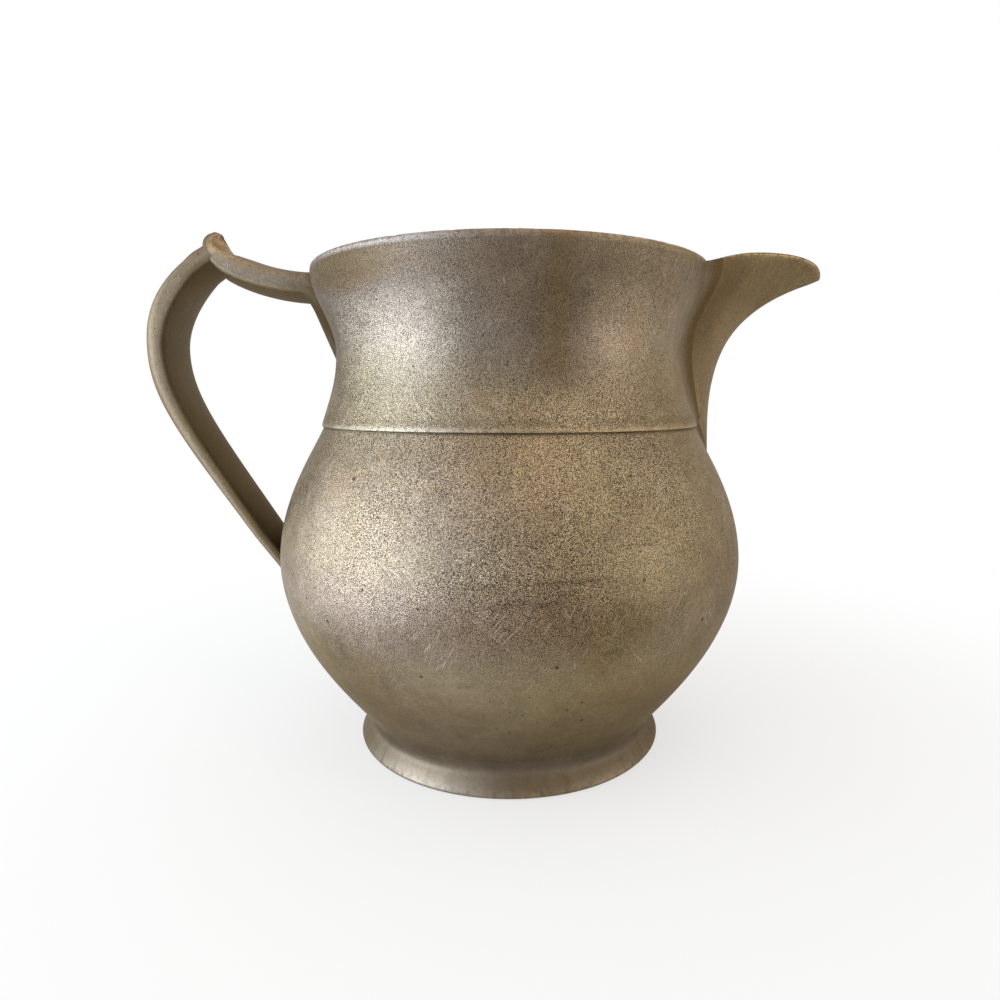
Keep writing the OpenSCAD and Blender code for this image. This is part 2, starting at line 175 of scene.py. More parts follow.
def bez_pull(c, t):
    """A third of the rate at which a cubic curve runs at the places t."""
    c = np.asarray(c, float)
    t = np.asarray(t, float)[..., None]
    return (1 - t) ** 2 * (c[1] - c[0]) + 2 * t * (1 - t) * (c[2] - c[1]) + t * t * (c[3] - c[2])


def bez_dir(c, t):
    """Unit direction of a cubic curve at the places t."""
    d = bez_pull(c, t)
    return d / np.linalg.norm(d, axis=-1, keepdims=True)


def bend(a, corner, b, n=6):
    """A rounded corner from a to b."""
    t = np.linspace(0, 1, n)[:, None]
    return (1 - t) ** 2 * np.asarray(a) + 2 * t * (1 - t) * np.asarray(corner) + t * t * np.asarray(b)


def polar(angle, length):
    """A step of that length at that angle in degrees from level."""
    return np.array([math.cos(math.radians(angle)), math.sin(math.radians(angle))]) * length


def mix(a, b, share):
    return a + (b - a) * share


def smooth(x, low, high):
    """A soft step from 0 at low to 1 at high."""
    s = np.clip((np.asarray(x, float) - low) / (high - low), 0, 1)
    return s * s * (3 - 2 * s)


def step(t, low, high):
    """A soft step at one place."""
    return float(smooth(t, low, high))


def near(values, place, width):
    """1 at a place, falling softly to 0 at that width away."""
    return 1 - smooth(np.abs(np.asarray(values) - place), 0, width)


BELLY_LOW = [(BELLY_R, BELLY_Z), (BELLY_R, BELLY_Z - LOW_PULL),
             (FOOT_TOP_R, FOOT_H) + polar(BASE_LEAN, BASE_PULL), (FOOT_TOP_R, FOOT_H)]
BELLY_HIGH = [(BELLY_R, BELLY_Z), (BELLY_R, BELLY_Z + HIGH_PULL),
              (SHOULDER_R, COLLAR_Z) - polar(180 - SHOULDER_LEAN, SHOULDER_PULL), (SHOULDER_R, COLLAR_Z)]
NECK_LOW = [(COLLAR_R, COLLAR_Z), (COLLAR_R, COLLAR_Z) + polar(180 - COLLAR_LEAN, COLLAR_PULL),
            (WAIST_R, WAIST_Z - WAIST_LOW_PULL), (WAIST_R, WAIST_Z)]
NECK_HIGH = [(WAIST_R, WAIST_Z), (WAIST_R, WAIST_Z + WAIST_HIGH_PULL),
             (RIM_R + RIM_SWELL, RIM_Z - RIM_EDGE - RIM_PULL), (RIM_R, RIM_Z - RIM_EDGE)]
FOOT_CURVE = [(FOOT_TOP_R, FOOT_H), (FOOT_TOP_R, FOOT_H) - polar(BASE_LEAN, FOOT_HOLLOW),
              (FOOT_R, FOOT_EDGE) + polar(90 + FLARE_LEAN, FOOT_FLARE), (FOOT_R, FOOT_EDGE)]
FINE = np.linspace(0, 1, 1500)
BELLY_LINE = np.vstack([bez(BELLY_LOW, FINE)[::-1], bez(BELLY_HIGH, FINE)[1:]])
NECK_LINE = np.vstack([bez(NECK_LOW, FINE), bez(NECK_HIGH, FINE)[1:]])
SLOPE_STEP = 0.05
SAME_POINT = 1e-6
SLIGHT_BEND = 20
CORNER_SHARE = 0.45


def line_r(line, z):
    """Radius of a turned line at the heights z."""
    return np.interp(z, line[:, 1], line[:, 0])


def line_in(line, z):
    """Radius of the inner face of an even wall at the heights z."""
    z = np.asarray(z)
    slope = (line_r(line, z + SLOPE_STEP) - line_r(line, z - SLOPE_STEP)) / (2 * SLOPE_STEP)
    return line_r(line, z) - WALL * np.sqrt(1 + slope ** 2)


def body_r(z):
    return np.where(np.asarray(z) >= COLLAR_Z, line_r(NECK_LINE, z), line_r(BELLY_LINE, z))


def on_body(y, z, gap, side=1):
    """Points on the body's outer face at half widths y and heights z."""
    y, z = np.broadcast_arrays(np.asarray(y, float), np.asarray(z, float))
    return np.stack([side * (np.sqrt(body_r(z) ** 2 - y * y) + gap), y, z], axis=-1)


def arc(centre, r, start, end, n):
    a = np.radians(np.linspace(start, end, n))
    return np.asarray(centre) + r * np.stack([np.cos(a), np.sin(a)], axis=-1)


def stacked(line, z0, z1, n, radius=line_r):
    """An outline along a turned line from height z0 to z1."""
    z = np.linspace(z0, z1, n)
    return np.stack([radius(line, z), z], axis=-1)


def rounded(points, radius, keep):
    """Closed outline with its corners rounded by radius, apart from slight bends and those to keep."""
    points = np.asarray(points, float)
    out = []
    for i, p in enumerate(points):
        before = points[i - 1] - p
        after = points[(i + 1) % len(points)] - p
        la, lb = np.linalg.norm(before), np.linalg.norm(after)
        if la < SAME_POINT or lb < SAME_POINT:
            continue
        turn = math.degrees(math.acos(np.clip(-before @ after / (la * lb), -1, 1)))
        if turn < SLIGHT_BEND or i in keep:
            out.append(p)
            continue
        a = p + before / la * min(radius, la * CORNER_SHARE)
        b = p + after / lb * min(radius, lb * CORNER_SHARE)
        out.extend(bend(a, p, b, 4))
    return np.array(out)


# Meshes

# Unevenness of the casting: its depth, wave length and seed
WORN = [(0.10, 26, 3.1), (0.045, 9, 17.7)]
SHARP = math.radians(50)
WELD = 1e-7
TURN = np.linspace(-math.pi, math.pi, 288, endpoint=False)


def worn(points):
    """Slight unevenness of an old casting, in millimetres, as one field over the whole object."""
    out = np.zeros(len(points))
    for i, p in enumerate(points):
        for size, wave, seed in WORN:
            out[i] += size * noise.noise(Vector(p / wave) + Vector((seed, 0, 0)))
    return out


def skin(rows, closed):
    """Faces over rows of points that close on themselves across.

    The rows close on each other along if closed, or else each end closes with a strip between its halves.
    """
    nr, nc = rows.shape[:2]
    index = np.arange(nr * nc).reshape(nr, nc)
    faces = []
    for j in range(nr if closed else nr - 1):
        a, b = index[j], index[(j + 1) % nr]
        faces += np.stack([a, np.roll(a, -1), np.roll(b, -1), b], axis=-1).tolist()
    if not closed:
        for row in (index[0], index[-1]):
            pairs = np.stack([row[:nc // 2], row[::-1][:nc // 2]], axis=-1)
            faces += [[*pairs[i], *pairs[i + 1][::-1]] for i in range(len(pairs) - 1)]
    return faces


def in_scene(name, data):
    """A new object in the scene."""
    made = bpy.data.objects.new(name, data)
    scene.collection.objects.link(made)
    return made


def make(name, skins, node):
    """A piece that stands for a node, from skins: rows, wear and painted sheen, dirt and painted shade, and
    whether the rows close along.
    """
    points, faces, fields = [], [], {"wear_and_sheen": [], "dirt_and_shade": []}
    count = 0
    for rows, wear_and_sheen, dirt_and_shade, closed in skins:
        faces += [[int(k) + count for k in face] for face in skin(rows, closed)]
        points.append(rows.reshape(-1, 3))
        fields["wear_and_sheen"].append(np.broadcast_to(wear_and_sheen, rows.shape[:2]).ravel())
        fields["dirt_and_shade"].append(np.broadcast_to(dirt_and_shade, rows.shape[:2]).ravel())
        count += len(points[-1])
    mesh = bpy.data.meshes.new(name)
    mesh.from_pydata((np.vstack(points) * MM).tolist(), [], faces)
    for field, values in fields.items():
        layer = mesh.attributes.new(field, "FLOAT", "POINT")
        layer.data.foreach_set("value", np.concatenate(values).astype(np.float32))
    work = bmesh.new()
    work.from_mesh(mesh)
    bmesh.ops.remove_doubles(work, verts=work.verts, dist=WELD)
    bmesh.ops.recalc_face_normals(work, faces=work.faces)
    for edge in work.edges:
        edge.smooth = len(edge.link_faces) == 2 and edge.calc_face_angle() < SHARP
    work.to_mesh(mesh)
    work.free()
    mesh.polygons.foreach_set("use_smooth", [True] * len(mesh.polygons))
    piece = in_scene(name, mesh)
    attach(piece, "root")
    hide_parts(node)
    return piece


def lofted(name, rings, wear_and_sheen, dirt_and_shade, node):
    """A piece through rings of points, closed at both ends."""
    return make(name, [(np.array(rings), np.array(wear_and_sheen), np.array(dirt_and_shade), False)], node)


def spin(outline, angles):
    """Rows of points from an outline of radius and height turned through the angles."""
    outline = np.asarray(outline, float)
    r = outline[:, 0][:, None]
    z = np.repeat(outline[:, 1][:, None], len(angles), axis=1)
    return np.stack([r * np.cos(angles), r * np.sin(angles), z], axis=-1)


def uneven(rows):
    """Moves rows of a turned piece in and out by the worn field."""
    points = rows.reshape(-1, 3).copy()
    points[:, :2] *= (1 + worn(points) / np.hypot(points[:, 0], points[:, 1]))[:, None]
    return points.reshape(rows.shape)


def turned(name, outline, node, wear_and_sheen=0, dirt_and_shade=0):
    """A turned piece from a closed outline, with wear and painted sheen, and dirt and painted shade, over its
    points and angles.
    """
    return make(name, [(uneven(spin(outline, TURN)), wear_and_sheen, dirt_and_shade, True)], node)


def facing(angle, reach, turn=TURN):
    """1 at an angle in degrees round the axis, falling softly to 0 at that reach in radians."""
    return near(turn, math.radians(angle), reach)


def ripple(waves, seed):
    """A random field round the axis, the finer the more waves it has."""
    return np.array([noise.noise(Vector((waves * math.cos(a), waves * math.sin(a), seed))) for a in TURN])


# Dirt, rubbing, and painted light and shade

# Sides are an angle in degrees and a reach in radians, lines and belts a height and a half width, and rises
# the heights between which dirt and painted shade set in or fade.
FOOT_LIT_SIDE = -118, 0.62
FOOT_PALE_SIDE = -48, 0.6
FOOT_SHEEN_SIDE = -82, 0.14
FOOT_RUB_LINE = 1.1, 2.0
FOOT_DIRT_LINE = 0.0, 0.5
FLARE_RISE = 2.4, 7.0
FLARE_SHADE = 0.78
SHADED_SIDE = -24, 0.55
SHADED_BELT = 66, 42
LIT_SIDE = -140, 0.7
LOW_BELT = 26, 16
LOW_RISE = FOOT_H, 50
SEAM_LINE = COLLAR_Z, 1.3
COLLAR_RUB_LINE = COLLAR_Z + 0.5, 1.0
COLLAR_DIRT_LINE = COLLAR_Z + 2.6, 2.0
NECK_RISE = COLLAR_Z + 3, COLLAR_Z + 17
RIM_PALE_SIDE = -30, 0.8
RIM_CLEAR_RISE = RIM_Z - 2.2, RIM_Z - 1.1
RIM_SHADED_SIDE = -138, 0.5
RIM_SHADED_RISE = 129, 143
RIM_RISE = 135, 146
RIM_DARK_LINE = RIM_Z - 4, 7
RIM_NICK_LINE = RIM_Z, 2.4
RIM_RUB_LINE = RIM_Z, 2.2
RIM_SIDE_LINE = RIM_Z - 1.3, 0.8


# Foot and base

def build_foot():
    outer = bez(FOOT_CURVE, np.linspace(0, 1, 24))
    edge = arc((FOOT_R - FOOT_EDGE, FOOT_EDGE), FOOT_EDGE, 0, -90, 8)[1:]
    inner = outer[outer[:, 1] < FOOT_H - FLANGE_T][::-1] - (SKIRT, 0)
    hole = FOOT_TOP_R - FLANGE_W
    corners = [(FOOT_R - SKIRT, 0)], inner, [(hole, FOOT_H - FLANGE_T), (hole, FOOT_H)]
    outline = rounded(np.vstack([outer, edge, *corners]), FOOT_CORNER, keep=(0,))
    z = outline[:, 1][:, None]
    outside = (outline[:, 0] > line_r(outer[::-1], outline[:, 1]) - 1)[:, None]
    # Painted light and shade on the foot: paler on the lit side and darker on the flare, in the hollow under
    # the belly. The streaks are stains, and the line at its lower edge is darker.
    lit_part = facing(*FOOT_LIT_SIDE)
    stain_and_shade = (1 - lit_part) * (1 - 0.4 * facing(*FOOT_PALE_SIDE))
    streaks = np.maximum(ripple(34, 0.5), 0)
    stain_and_shade = np.minimum(0.8 * stain_and_shade + 0.45 * streaks, 0.9)
    upper = smooth(z, *FLARE_RISE) * (1 - 0.4 * lit_part)
    dirt_and_shade = np.maximum(mix(stain_and_shade, FLARE_SHADE, upper), 0.5 * near(z, *FOOT_DIRT_LINE)) * outside
    # A band near the lower edge that is brighter on the lit side: partly wear, partly a painted highlight.
    rub_and_sheen = 0.4 + 0.6 * facing(*FOOT_SHEEN_SIDE)
    wear_and_sheen = rub_and_sheen * near(z, *FOOT_RUB_LINE) * outside
    return turned("foot", outline, "foot_ring", wear_and_sheen, dirt_and_shade)


def build_base():
    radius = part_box("base_disc")[1].x / MM
    r = np.linspace(0.02, radius, 60)
    rings = RING_DEPTH * np.cos(r * RING_WAVE)
    low = np.stack([r, FOOT_H + RING_INSET + rings], axis=-1)
    high = np.stack([r, BASE_TOP - RING_INSET + rings], axis=-1)[::-1]
    outline = np.vstack([low, high])
    dirt_and_shade = smooth(outline[:, 0], radius - 8, radius)[:, None]
    return turned("base", outline, "base_disc", dirt_and_shade=dirt_and_shade)


def build_base_solder():
    zs = np.linspace(BASE_TOP, BASE_TOP + BASE_FILLET, 7)
    wall = np.stack([line_in(BELLY_LINE, zs) - SOLDER_GAP, zs], axis=-1)
    toe = wall[0] - (BASE_FILLET, 0)
    hollow = bend(wall[-1], wall[0] + FILLET_SAG, toe, 9)[1:-1]
    return turned("base_seal", np.vstack([wall, hollow, [toe]]), "base_solder")


# Belly

# Dark smears on the belly: angle of the middle and half length in degrees, height, half width and strength
STREAKS = [(-80, 11, 69.2, 1.0, 1.3), (-97, 8, 68.6, 0.7, 0.6), (-72, 7, 49.5, 1.3, 0.7),
           (-104, 6, 84.0, 0.9, 0.4), (-101, 5, 41.5, 1.2, 0.7), (-63, 9, 77.0, 0.8, 0.5),
           (-84, 7, 64.4, 1.4, 0.7), (20, 14, 58.0, 1.1, 0.6), (95, 12, 72.0, 1.0, 0.6),
           (150, 10, 50.0, 1.2, 0.5)]
STREAK_SWAY = 1.5
INNER_MARGIN = 0.5


def smears(heights):
    """Grime of the streaks over rows of heights and the angles of a turn."""
    out = np.zeros((len(heights), len(TURN)))
    for middle, half, z, width, strength in STREAKS:
        along = np.abs((TURN - math.radians(middle) + math.pi) % (2 * math.pi) - math.pi)
        line = near(heights[:, None] - z - STREAK_SWAY * ripple(3, z), 0, width)
        broken = near(along, 0, math.radians(half)) * smooth(ripple(14, z), -0.5, 0.3)
        out += strength * line * broken
    return out


def right_painted_shade(heights):
    """Painted shade on the belly's dim side under the spout."""
    return 0.3 * facing(*SHADED_SIDE) * near(heights, *SHADED_BELT)


def belly_outside(outline):
    """1 for the points of a belly's outline on its outer face."""
    return (outline[:, 0] > line_in(BELLY_LINE, outline[:, 1]) + INNER_MARGIN)[:, None]


def build_lower_belly():
    lip = BELLY_R - BELLY_LIP
    outer = stacked(BELLY_LINE, FOOT_H, BELLY_Z, 90)
    lap = [(lip, BELLY_Z), (lip, BELLY_Z - BELLY_LAP)]
    inner = stacked(BELLY_LINE, BELLY_Z - BELLY_LAP, FOOT_H, 60, line_in)
    outline = np.vstack([outer, lap, inner])
    z = outline[:, 1][:, None]
    # Darker towards the bottom, partly patina and partly painted shade. It is less dark on the lit side,
    # which is painted light.
    lit = 0.35 * facing(*LIT_SIDE)
    low = 0.68 * (1 - smooth(z, *LOW_RISE)) + 0.28 * near(z, *LOW_BELT)
    dirt_and_shade = (low * (1 - lit) + right_painted_shade(z) + smears(outline[:, 1])) * belly_outside(outline)
    return turned("belly_lower", outline, "lower_belly", dirt_and_shade=dirt_and_shade)


def build_upper_belly():
    socket = COLLAR_R - COLLAR_EDGE - SOLDER_GAP
    bore = socket - SPIGOT_WALL
    top = COLLAR_Z + COLLAR_LAP - SOLDER_GAP
    low = BELLY_Z - BELLY_LAP + SOLDER_GAP
    lip = BELLY_R - BELLY_LIP - SOLDER_GAP
    outer = stacked(BELLY_LINE, BELLY_Z, COLLAR_Z, 80)
    spigot = [(socket, COLLAR_Z), (socket, top), (bore, top), (bore, COLLAR_Z)]
    inner = stacked(BELLY_LINE, COLLAR_Z - COLLAR_LAP, low, 60, line_in)
    outline = np.vstack([outer, spigot, inner, [(lip, low), (lip, BELLY_Z)]])
    z = outline[:, 1][:, None]
    dirt_and_shade = (near(z, *SEAM_LINE) + right_painted_shade(z) + smears(outline[:, 1])) * belly_outside(outline)
    return turned("belly_upper", outline, "upper_belly", dirt_and_shade=dirt_and_shade)


# Neck

# Dark patches round the neck, those at the front and on the left edge painted shade: angle of the middle in
# degrees, reach in radians and strength
NECK_DARK_PATCHES = [(-77, 0.30, 0.70), (-99, 0.24, 0.42), (-88, 0.5, 0.36), (-160, 0.38, 0.7), (70, 0.6, 0.5),
             (150, 0.5, 0.4)]

# Rows of points on the neck's outer face, on its part by the collar, round the rim and inside
OUTER_ROWS = 84
COLLAR_ROWS = 30
RIM_ROWS = 12
INNER_ROWS = 56
MOUTH_ANGLE = 0.6


def mouth_top(angles):
    """Height of the neck's edge at each angle: the rim, or a sloping side of the cut-out behind the spout."""
    above = RIM_Z + 20
    low = np.full(len(angles), COLLAR_Z)
    high = np.full(len(angles), above)
    for _ in range(40):
        mid = (low + high) / 2
        half = MOUTH_HALF * (mid - MOUTH_Z) / (MOUTH_TOP - MOUTH_Z)
        y = line_r(NECK_LINE, mid) * np.abs(np.sin(angles))
        under = half < y
        low, high = np.where(under, mid, low), np.where(under, high, mid)
    cut = np.where(np.abs(angles) < MOUTH_ANGLE, low, above)
    return np.where(cut < RIM_Z - 0.3, cut, RIM_Z)


def neck_column(top):
    """Outline of the neck at an angle where its edge reaches the height top."""
    socket = COLLAR_R - COLLAR_EDGE
    z_edge = top - RIM_EDGE
    outer = stacked(NECK_LINE, COLLAR_Z + COLLAR_CHAMFER, z_edge, OUTER_ROWS)
    edge = arc((outer[-1, 0] - RIM_EDGE, z_edge), RIM_EDGE, 0, 180, RIM_ROWS)[1:-1]
    inner = stacked(NECK_LINE, z_edge, COLLAR_Z + COLLAR_LAP, INNER_ROWS, line_in)
    lower = [(socket, COLLAR_Z + COLLAR_LAP), (socket, COLLAR_Z + 0.2), (socket + 0.3, COLLAR_Z),
             (COLLAR_R - COLLAR_CHAMFER, COLLAR_Z), (COLLAR_R - 0.1, COLLAR_Z + 0.1)]
    return np.vstack([outer, edge, inner, lower])


def rim_nick(angle):
    """Depth of the nicks in the rim at an angle."""
    p = Vector((math.cos(angle), math.sin(angle), 0))
    return 0.4 * max(0, noise.noise(p * 22) - 0.22) + 0.05 * noise.noise(p * 60)


def build_neck():
    fine = math.radians(26)
    angles = np.concatenate([np.linspace(-fine, fine, 160, endpoint=False),
                             np.linspace(fine, 2 * math.pi - fine, 260, endpoint=False)])
    angles = (angles + math.pi) % (2 * math.pi) - math.pi
    columns = np.array([neck_column(top) for top in mouth_top(angles)])
    radius, height = columns[:, :, 0], columns[:, :, 1]
    turn = angles[:, None]
    nicks = np.array([rim_nick(a) for a in angles])[:, None] * near(height, *RIM_NICK_LINE)
    columns = np.stack([radius * np.cos(turn), radius * np.sin(turn), height - nicks], axis=-1)
    rows = columns.transpose(1, 0, 2)

    part = np.arange(columns.shape[1])
    outside, by_collar = part < OUTER_ROWS, part < COLLAR_ROWS
    on_rim = (part >= OUTER_ROWS - 1) & (part < OUTER_ROWS + RIM_ROWS)
    # The rubbed lip and the light line on the collar's edge: partly wear, partly painted highlight.
    lip = np.maximum(1.5 * near(height, *RIM_RUB_LINE) * on_rim, 0.6 * near(height, *RIM_SIDE_LINE) * outside)
    wear_and_sheen = lip + 0.8 * near(height, *COLLAR_RUB_LINE) * by_collar
    # A dark line over the collar's joint, and a dark band below the rim that is partly stain and partly
    # painted shade.
    lines = 0.35 * near(height, *COLLAR_DIRT_LINE) * by_collar + 0.3 * near(height, *RIM_DARK_LINE) * outside
    patches = sum(share * facing(middle, reach, turn) for middle, reach, share in NECK_DARK_PATCHES)
    patches = patches * smooth(height, *NECK_RISE)
    # Darker below the rim and less on the spout's side, partly stain and partly painted shade. On the upper
    # left, a painted shade narrows the lit part.
    clear_rim = 1 - smooth(height, *RIM_CLEAR_RISE)
    below_rim = 0.85 * (1 - 0.65 * facing(*RIM_PALE_SIDE, turn)) * smooth(height, *RIM_RISE) * clear_rim
    left = 0.4 * facing(*RIM_SHADED_SIDE, turn) * smooth(height, *RIM_SHADED_RISE) * clear_rim
    dirt_and_shade = np.maximum(lines, np.maximum(patches, below_rim) + left)
    return make("neck_shell", [(uneven(rows), wear_and_sheen.T, dirt_and_shade.T, True)], "neck")


# Spout

# Its edge on the body as half width and height, and its keel as distance from the axis and height
EDGE_CURVE = [(TAIL_HALF, TAIL_Z), (SPOUT_LOW_HALF, TAIL_Z + TAIL_TURN), (SPOUT_MID_HALF, WAIST_Z),
              (SPOUT_HALF, RIM_Z)]
KEEL_CURVE = [(float(body_r(TAIL_Z)) + TAIL_STAND, TAIL_Z), (WAIST_R + KEEL_STAND, TAIL_Z + KEEL_PULL),
              (WAIST_R + KEEL_SWING, TIP_Z - KEEL_TURN), (RIM_R + SPOUT_REACH, TIP_Z)]
SIDE_LEAD = 0.33
SIDE_DRAW = 0.78
LIP_SLOPE = 0.8
LEVEL_POWER = 8
RISE_POWER = 3
NOSE_PULL = np.array([-1.0, 0.2])
NOSE_REACH = 0.955, 1.03
HOLLOW_REACH = 0.42, 0.5
SPOUT_COLS = 28
LIP_ROUND = np.radians([18, 36, 54, 72, 84])
LIP_LIFT = 0.42
LIP_THIN = 0.85
SEAM_FROM = 0.12
SEAM_HOLLOW = 0.85
SEAM_DROP = 1.0


def level(t, inset):
    """Control points of the spout's level line from its edge on the body to its keel."""
    edge, keel = bez(EDGE_CURVE, t), bez(KEEL_CURVE, t)
    keel = keel + NOSE_PULL * step(t, *NOSE_REACH)
    up = mix(bez_dir(KEEL_CURVE, t)[0], LIP_SLOPE, t ** LEVEL_POWER)
    rise = t ** RISE_POWER
    root = on_body(edge[0] - inset, edge[1], SKIN_GAP)
    nose = np.array([keel[0] - inset * math.sqrt(1 - up * up), 0, keel[1] + inset * up])
    lead = mix(root, nose, SIDE_LEAD)
    nose_half = mix(TAIL_HALF, TIP_HALF, t) * root[1] / edge[0]
    return np.array([root,
                     (lead[0], root[1] * SIDE_DRAW, lead[2] + LIP_RISE * rise),
                     (nose[0], nose_half, keel[1] + TIP_RISE * rise),
                     nose])


def both_sides(line):
    """A line from the near side to the middle plane, carried on to the far side."""
    return np.vstack([line * (1, -1, 1), line[-2::-1]])


def spout_lines(t):
    """Outer and inner line of the spout at one place along it. Low down the inner one lies on the body."""
    s = np.linspace(0, 1, SPOUT_COLS)
    outer = both_sides(bez(level(t, 0), s))
    hollow = both_sides(bez(level(t, SPOUT_WALL), s))
    edge = bez(EDGE_CURVE, t)
    back = on_body(np.linspace(-edge[0], edge[0], 2 * SPOUT_COLS - 1), edge[1], SKIN_GAP)
    return outer, mix(back, hollow, step(t, *HOLLOW_REACH))


def build_spout():
    across = np.abs(np.linspace(-1, 1, 2 * SPOUT_COLS - 1))
    rings, wear_and_sheen, dirt_and_shade = [], [], []
    for t in np.concatenate([np.linspace(0, 0.4, 26, endpoint=False), np.linspace(0.4, 1, 60)]):
        outer, inner = spout_lines(t)
        rings.append(np.vstack([outer, inner[::-1]]))
        lip = step(t, 0.985, 1.0)
        wear_and_sheen.append(np.full(len(rings[-1]), 0.5 * lip))
        # Darker towards its root on the neck, a painted shade in the crease, and darker along the nose.
        side = smooth(across, 0.45, 0.85) * mix(0.35, 1.0, step(t, 0.3, 0.75))
        nose = mix(0.3 * step(t, 0.6, 0.8), 0.42, step(t, 0.8, 0.97)) * (1 - lip)
        dirt_and_shade.append(np.concatenate([np.maximum(side * 0.85, nose), side[::-1] * 0.8]))
    outer, inner = spout_lines(1.0)
    middle = (outer + inner) / 2
    up = outer - spout_lines(0.97)[0]
    up = up / np.linalg.norm(up, axis=1, keepdims=True)
    thin = 1 - LIP_THIN * smooth(across, 0.72, 1.0)
    for a in LIP_ROUND:
        lift = up * SPOUT_WALL * LIP_LIFT * math.sin(a) * thin[:, None]
        top = [middle + (line - middle) * math.cos(a) + lift for line in (outer, inner)]
        rings.append(np.vstack([top[0], top[1][::-1]]))
        wear_and_sheen.append(np.full(len(rings[-1]), 0.8))
        dirt_and_shade.append(np.zeros(len(rings[-1])))
    return lofted("spout_shell", rings, wear_and_sheen, dirt_and_shade, "spout")


def build_spout_solder():
    across = np.linspace(0, 1, 11)
    rings = []
    for t in np.linspace(SEAM_FROM, 1, 70):
        line = level(t, 0)
        edge = bez(EDGE_CURVE, t)
        leg = mix(FILLET_LOW, FILLET_HIGH, t)
        reach = leg / (np.linalg.norm(line[1] - line[0]) * 3)
        drop = SEAM_DROP * step(t, 0.96, 1)
        top = bez(line, reach) + (0, SEAT / 4, -0.1 * step(t, 0.97, 1))
        toe = on_body(edge[0] + leg, edge[1] - drop, SEAT / 2)
        corner = on_body(edge[0], edge[1], SKIN_GAP)
        face = bend(toe, mix((toe + top) / 2, corner, SEAM_HOLLOW), top, len(across))
        on_neck = on_body(edge[0] + leg * (1 - across[::2]), edge[1] - 1.1 * drop, SEAT)
        on_spout = bez(line, across[2::2] * reach) + (0, 2 * SEAT, 0)
        rings.append(np.vstack([face, on_spout[::-1], on_neck[::-1]]))
    rings = uneven(np.array(rings))
    # Darker towards the spout: painted shade in the valley of the seam between spout and neck.
    shade_and_dirt = np.concatenate([1.1 * smooth(across, 0.05, 0.8), np.zeros(len(across))])
    skins = [(rings * (1, side, 1), 0, shade_and_dirt, False) for side in (-1, 1)]
    return make("spout_seams", skins, "spout_solder")


# Handle

ARM_X = -float(body_r(ARM_Z))
ARM_CURVE = [(ARM_X, ARM_Z), (ARM_X - ARM_LEVEL, ARM_Z), (ARM_X - ARM_REACH, ARM_Z + ARM_RISE),
             (ARM_X - ARM_REACH + SPUR_LEAN, ARM_Z + SPUR_RISE)]

# Places along the arm's curve, from 0 on the neck to 1 at the spur's tip
ARM_ROOT = 0.045
SPUR_FROM = 0.58
CROWN_FROM = 0.42
CROWN_TO = 0.95
ROUND_FROM = 0.7
GRIP_HEAD = 0.76

# Shares and powers of the handle's sections
TIP_ROUND = 0.93
TIP_CAP = np.radians([25, 50, 72, 86])
CAP_LIFT = 0.45
BACK_POWER = 2.2
INNER_POWER = 4
BOX_POWER = 7
HEAD_LET = 0.6
HEAD_WIDER = 1.005
HEAD_FLARE = 0.3
FOOT_SPREAD = 1.15
SHRINKS = np.array([0.04, 0.3, 0.65, 1])


def past(t, start):
    return max(0.0, (t - start) / (1 - start))


def arm_half(t):
    return STRAP_HALF * math.sqrt(1 - TIP_ROUND * past(t, ROUND_FROM) ** 2)


def arm_top(t, f):
    share = past(t, SPUR_FROM)
    crown = mix(ARM_CROWN, -SPUR_DISH, step(t, CROWN_FROM, CROWN_TO))
    return mix(ARM_SIDE, SPUR_SIDE, share) / 2 + crown * (1 - f * f)


def arm_under(t, f):
    share = past(t, SPUR_FROM)
    return mix(ARM_SIDE, SPUR_SIDE, share) / 2 + mix(ARM_BELLY, SPUR_CROWN, share) * (1 - f * f)


def strap(half, top, under, corner, n=21):
    """Upper and lower line of a strap's section, as places across and lifts, with rounded corners."""
    f = np.linspace(-1, 1, n) * (1 - corner / half)
    drop = min(corner, CORNER_SHARE * (top(1) + under(1)))
    lines = []
    for sign, lift in ((1, top), (-1, under)):
        flat = np.stack([f * half, sign * lift(f)], axis=-1)
        side = half, sign * (lift(1) - drop)
        turn = bend(flat[-1], (half, sign * lift(1)), side)[1:]
        lines.append(np.vstack([turn[::-1] * (-1, 1), flat, turn]))
    return lines


def placed(curve, t, section, facing_up=1):
    """Section points set square on a curve in the middle plane, lifted up from it or, with -1, down."""
    p, d = bez(curve, t), bez_dir(curve, t)
    up = facing_up * np.array([d[1], -d[0]])
    across, lift = section.T
    return np.stack([p[0] + up[0] * lift, across, p[1] + up[1] * lift], axis=-1)


def arm_section(t):
    corner = mix(ARM_CORNER, SPUR_CORNER, past(t, SPUR_FROM))
    return strap(arm_half(t), lambda f: arm_top(t, f), lambda f: arm_under(t, f), corner)


def arm_root(shrink):
    """The arm's end on the neck, with the tongue that runs down to a point."""
    upper, lower = arm_section(ARM_ROOT)
    f = upper[:, 0] / STRAP_HALF
    high = ARM_Z + upper[:, 1]
    low = ARM_Z + lower[:, 1] - (TONGUE_H - ARM_SIDE) * (1 - np.abs(f))
    middle = (high + low) / 2
    lines = [on_body(upper[:, 0], mix(middle, z, shrink), SEAT, -1) for z in (high, low)]
    return np.vstack([lines[0], lines[1][::-1]])


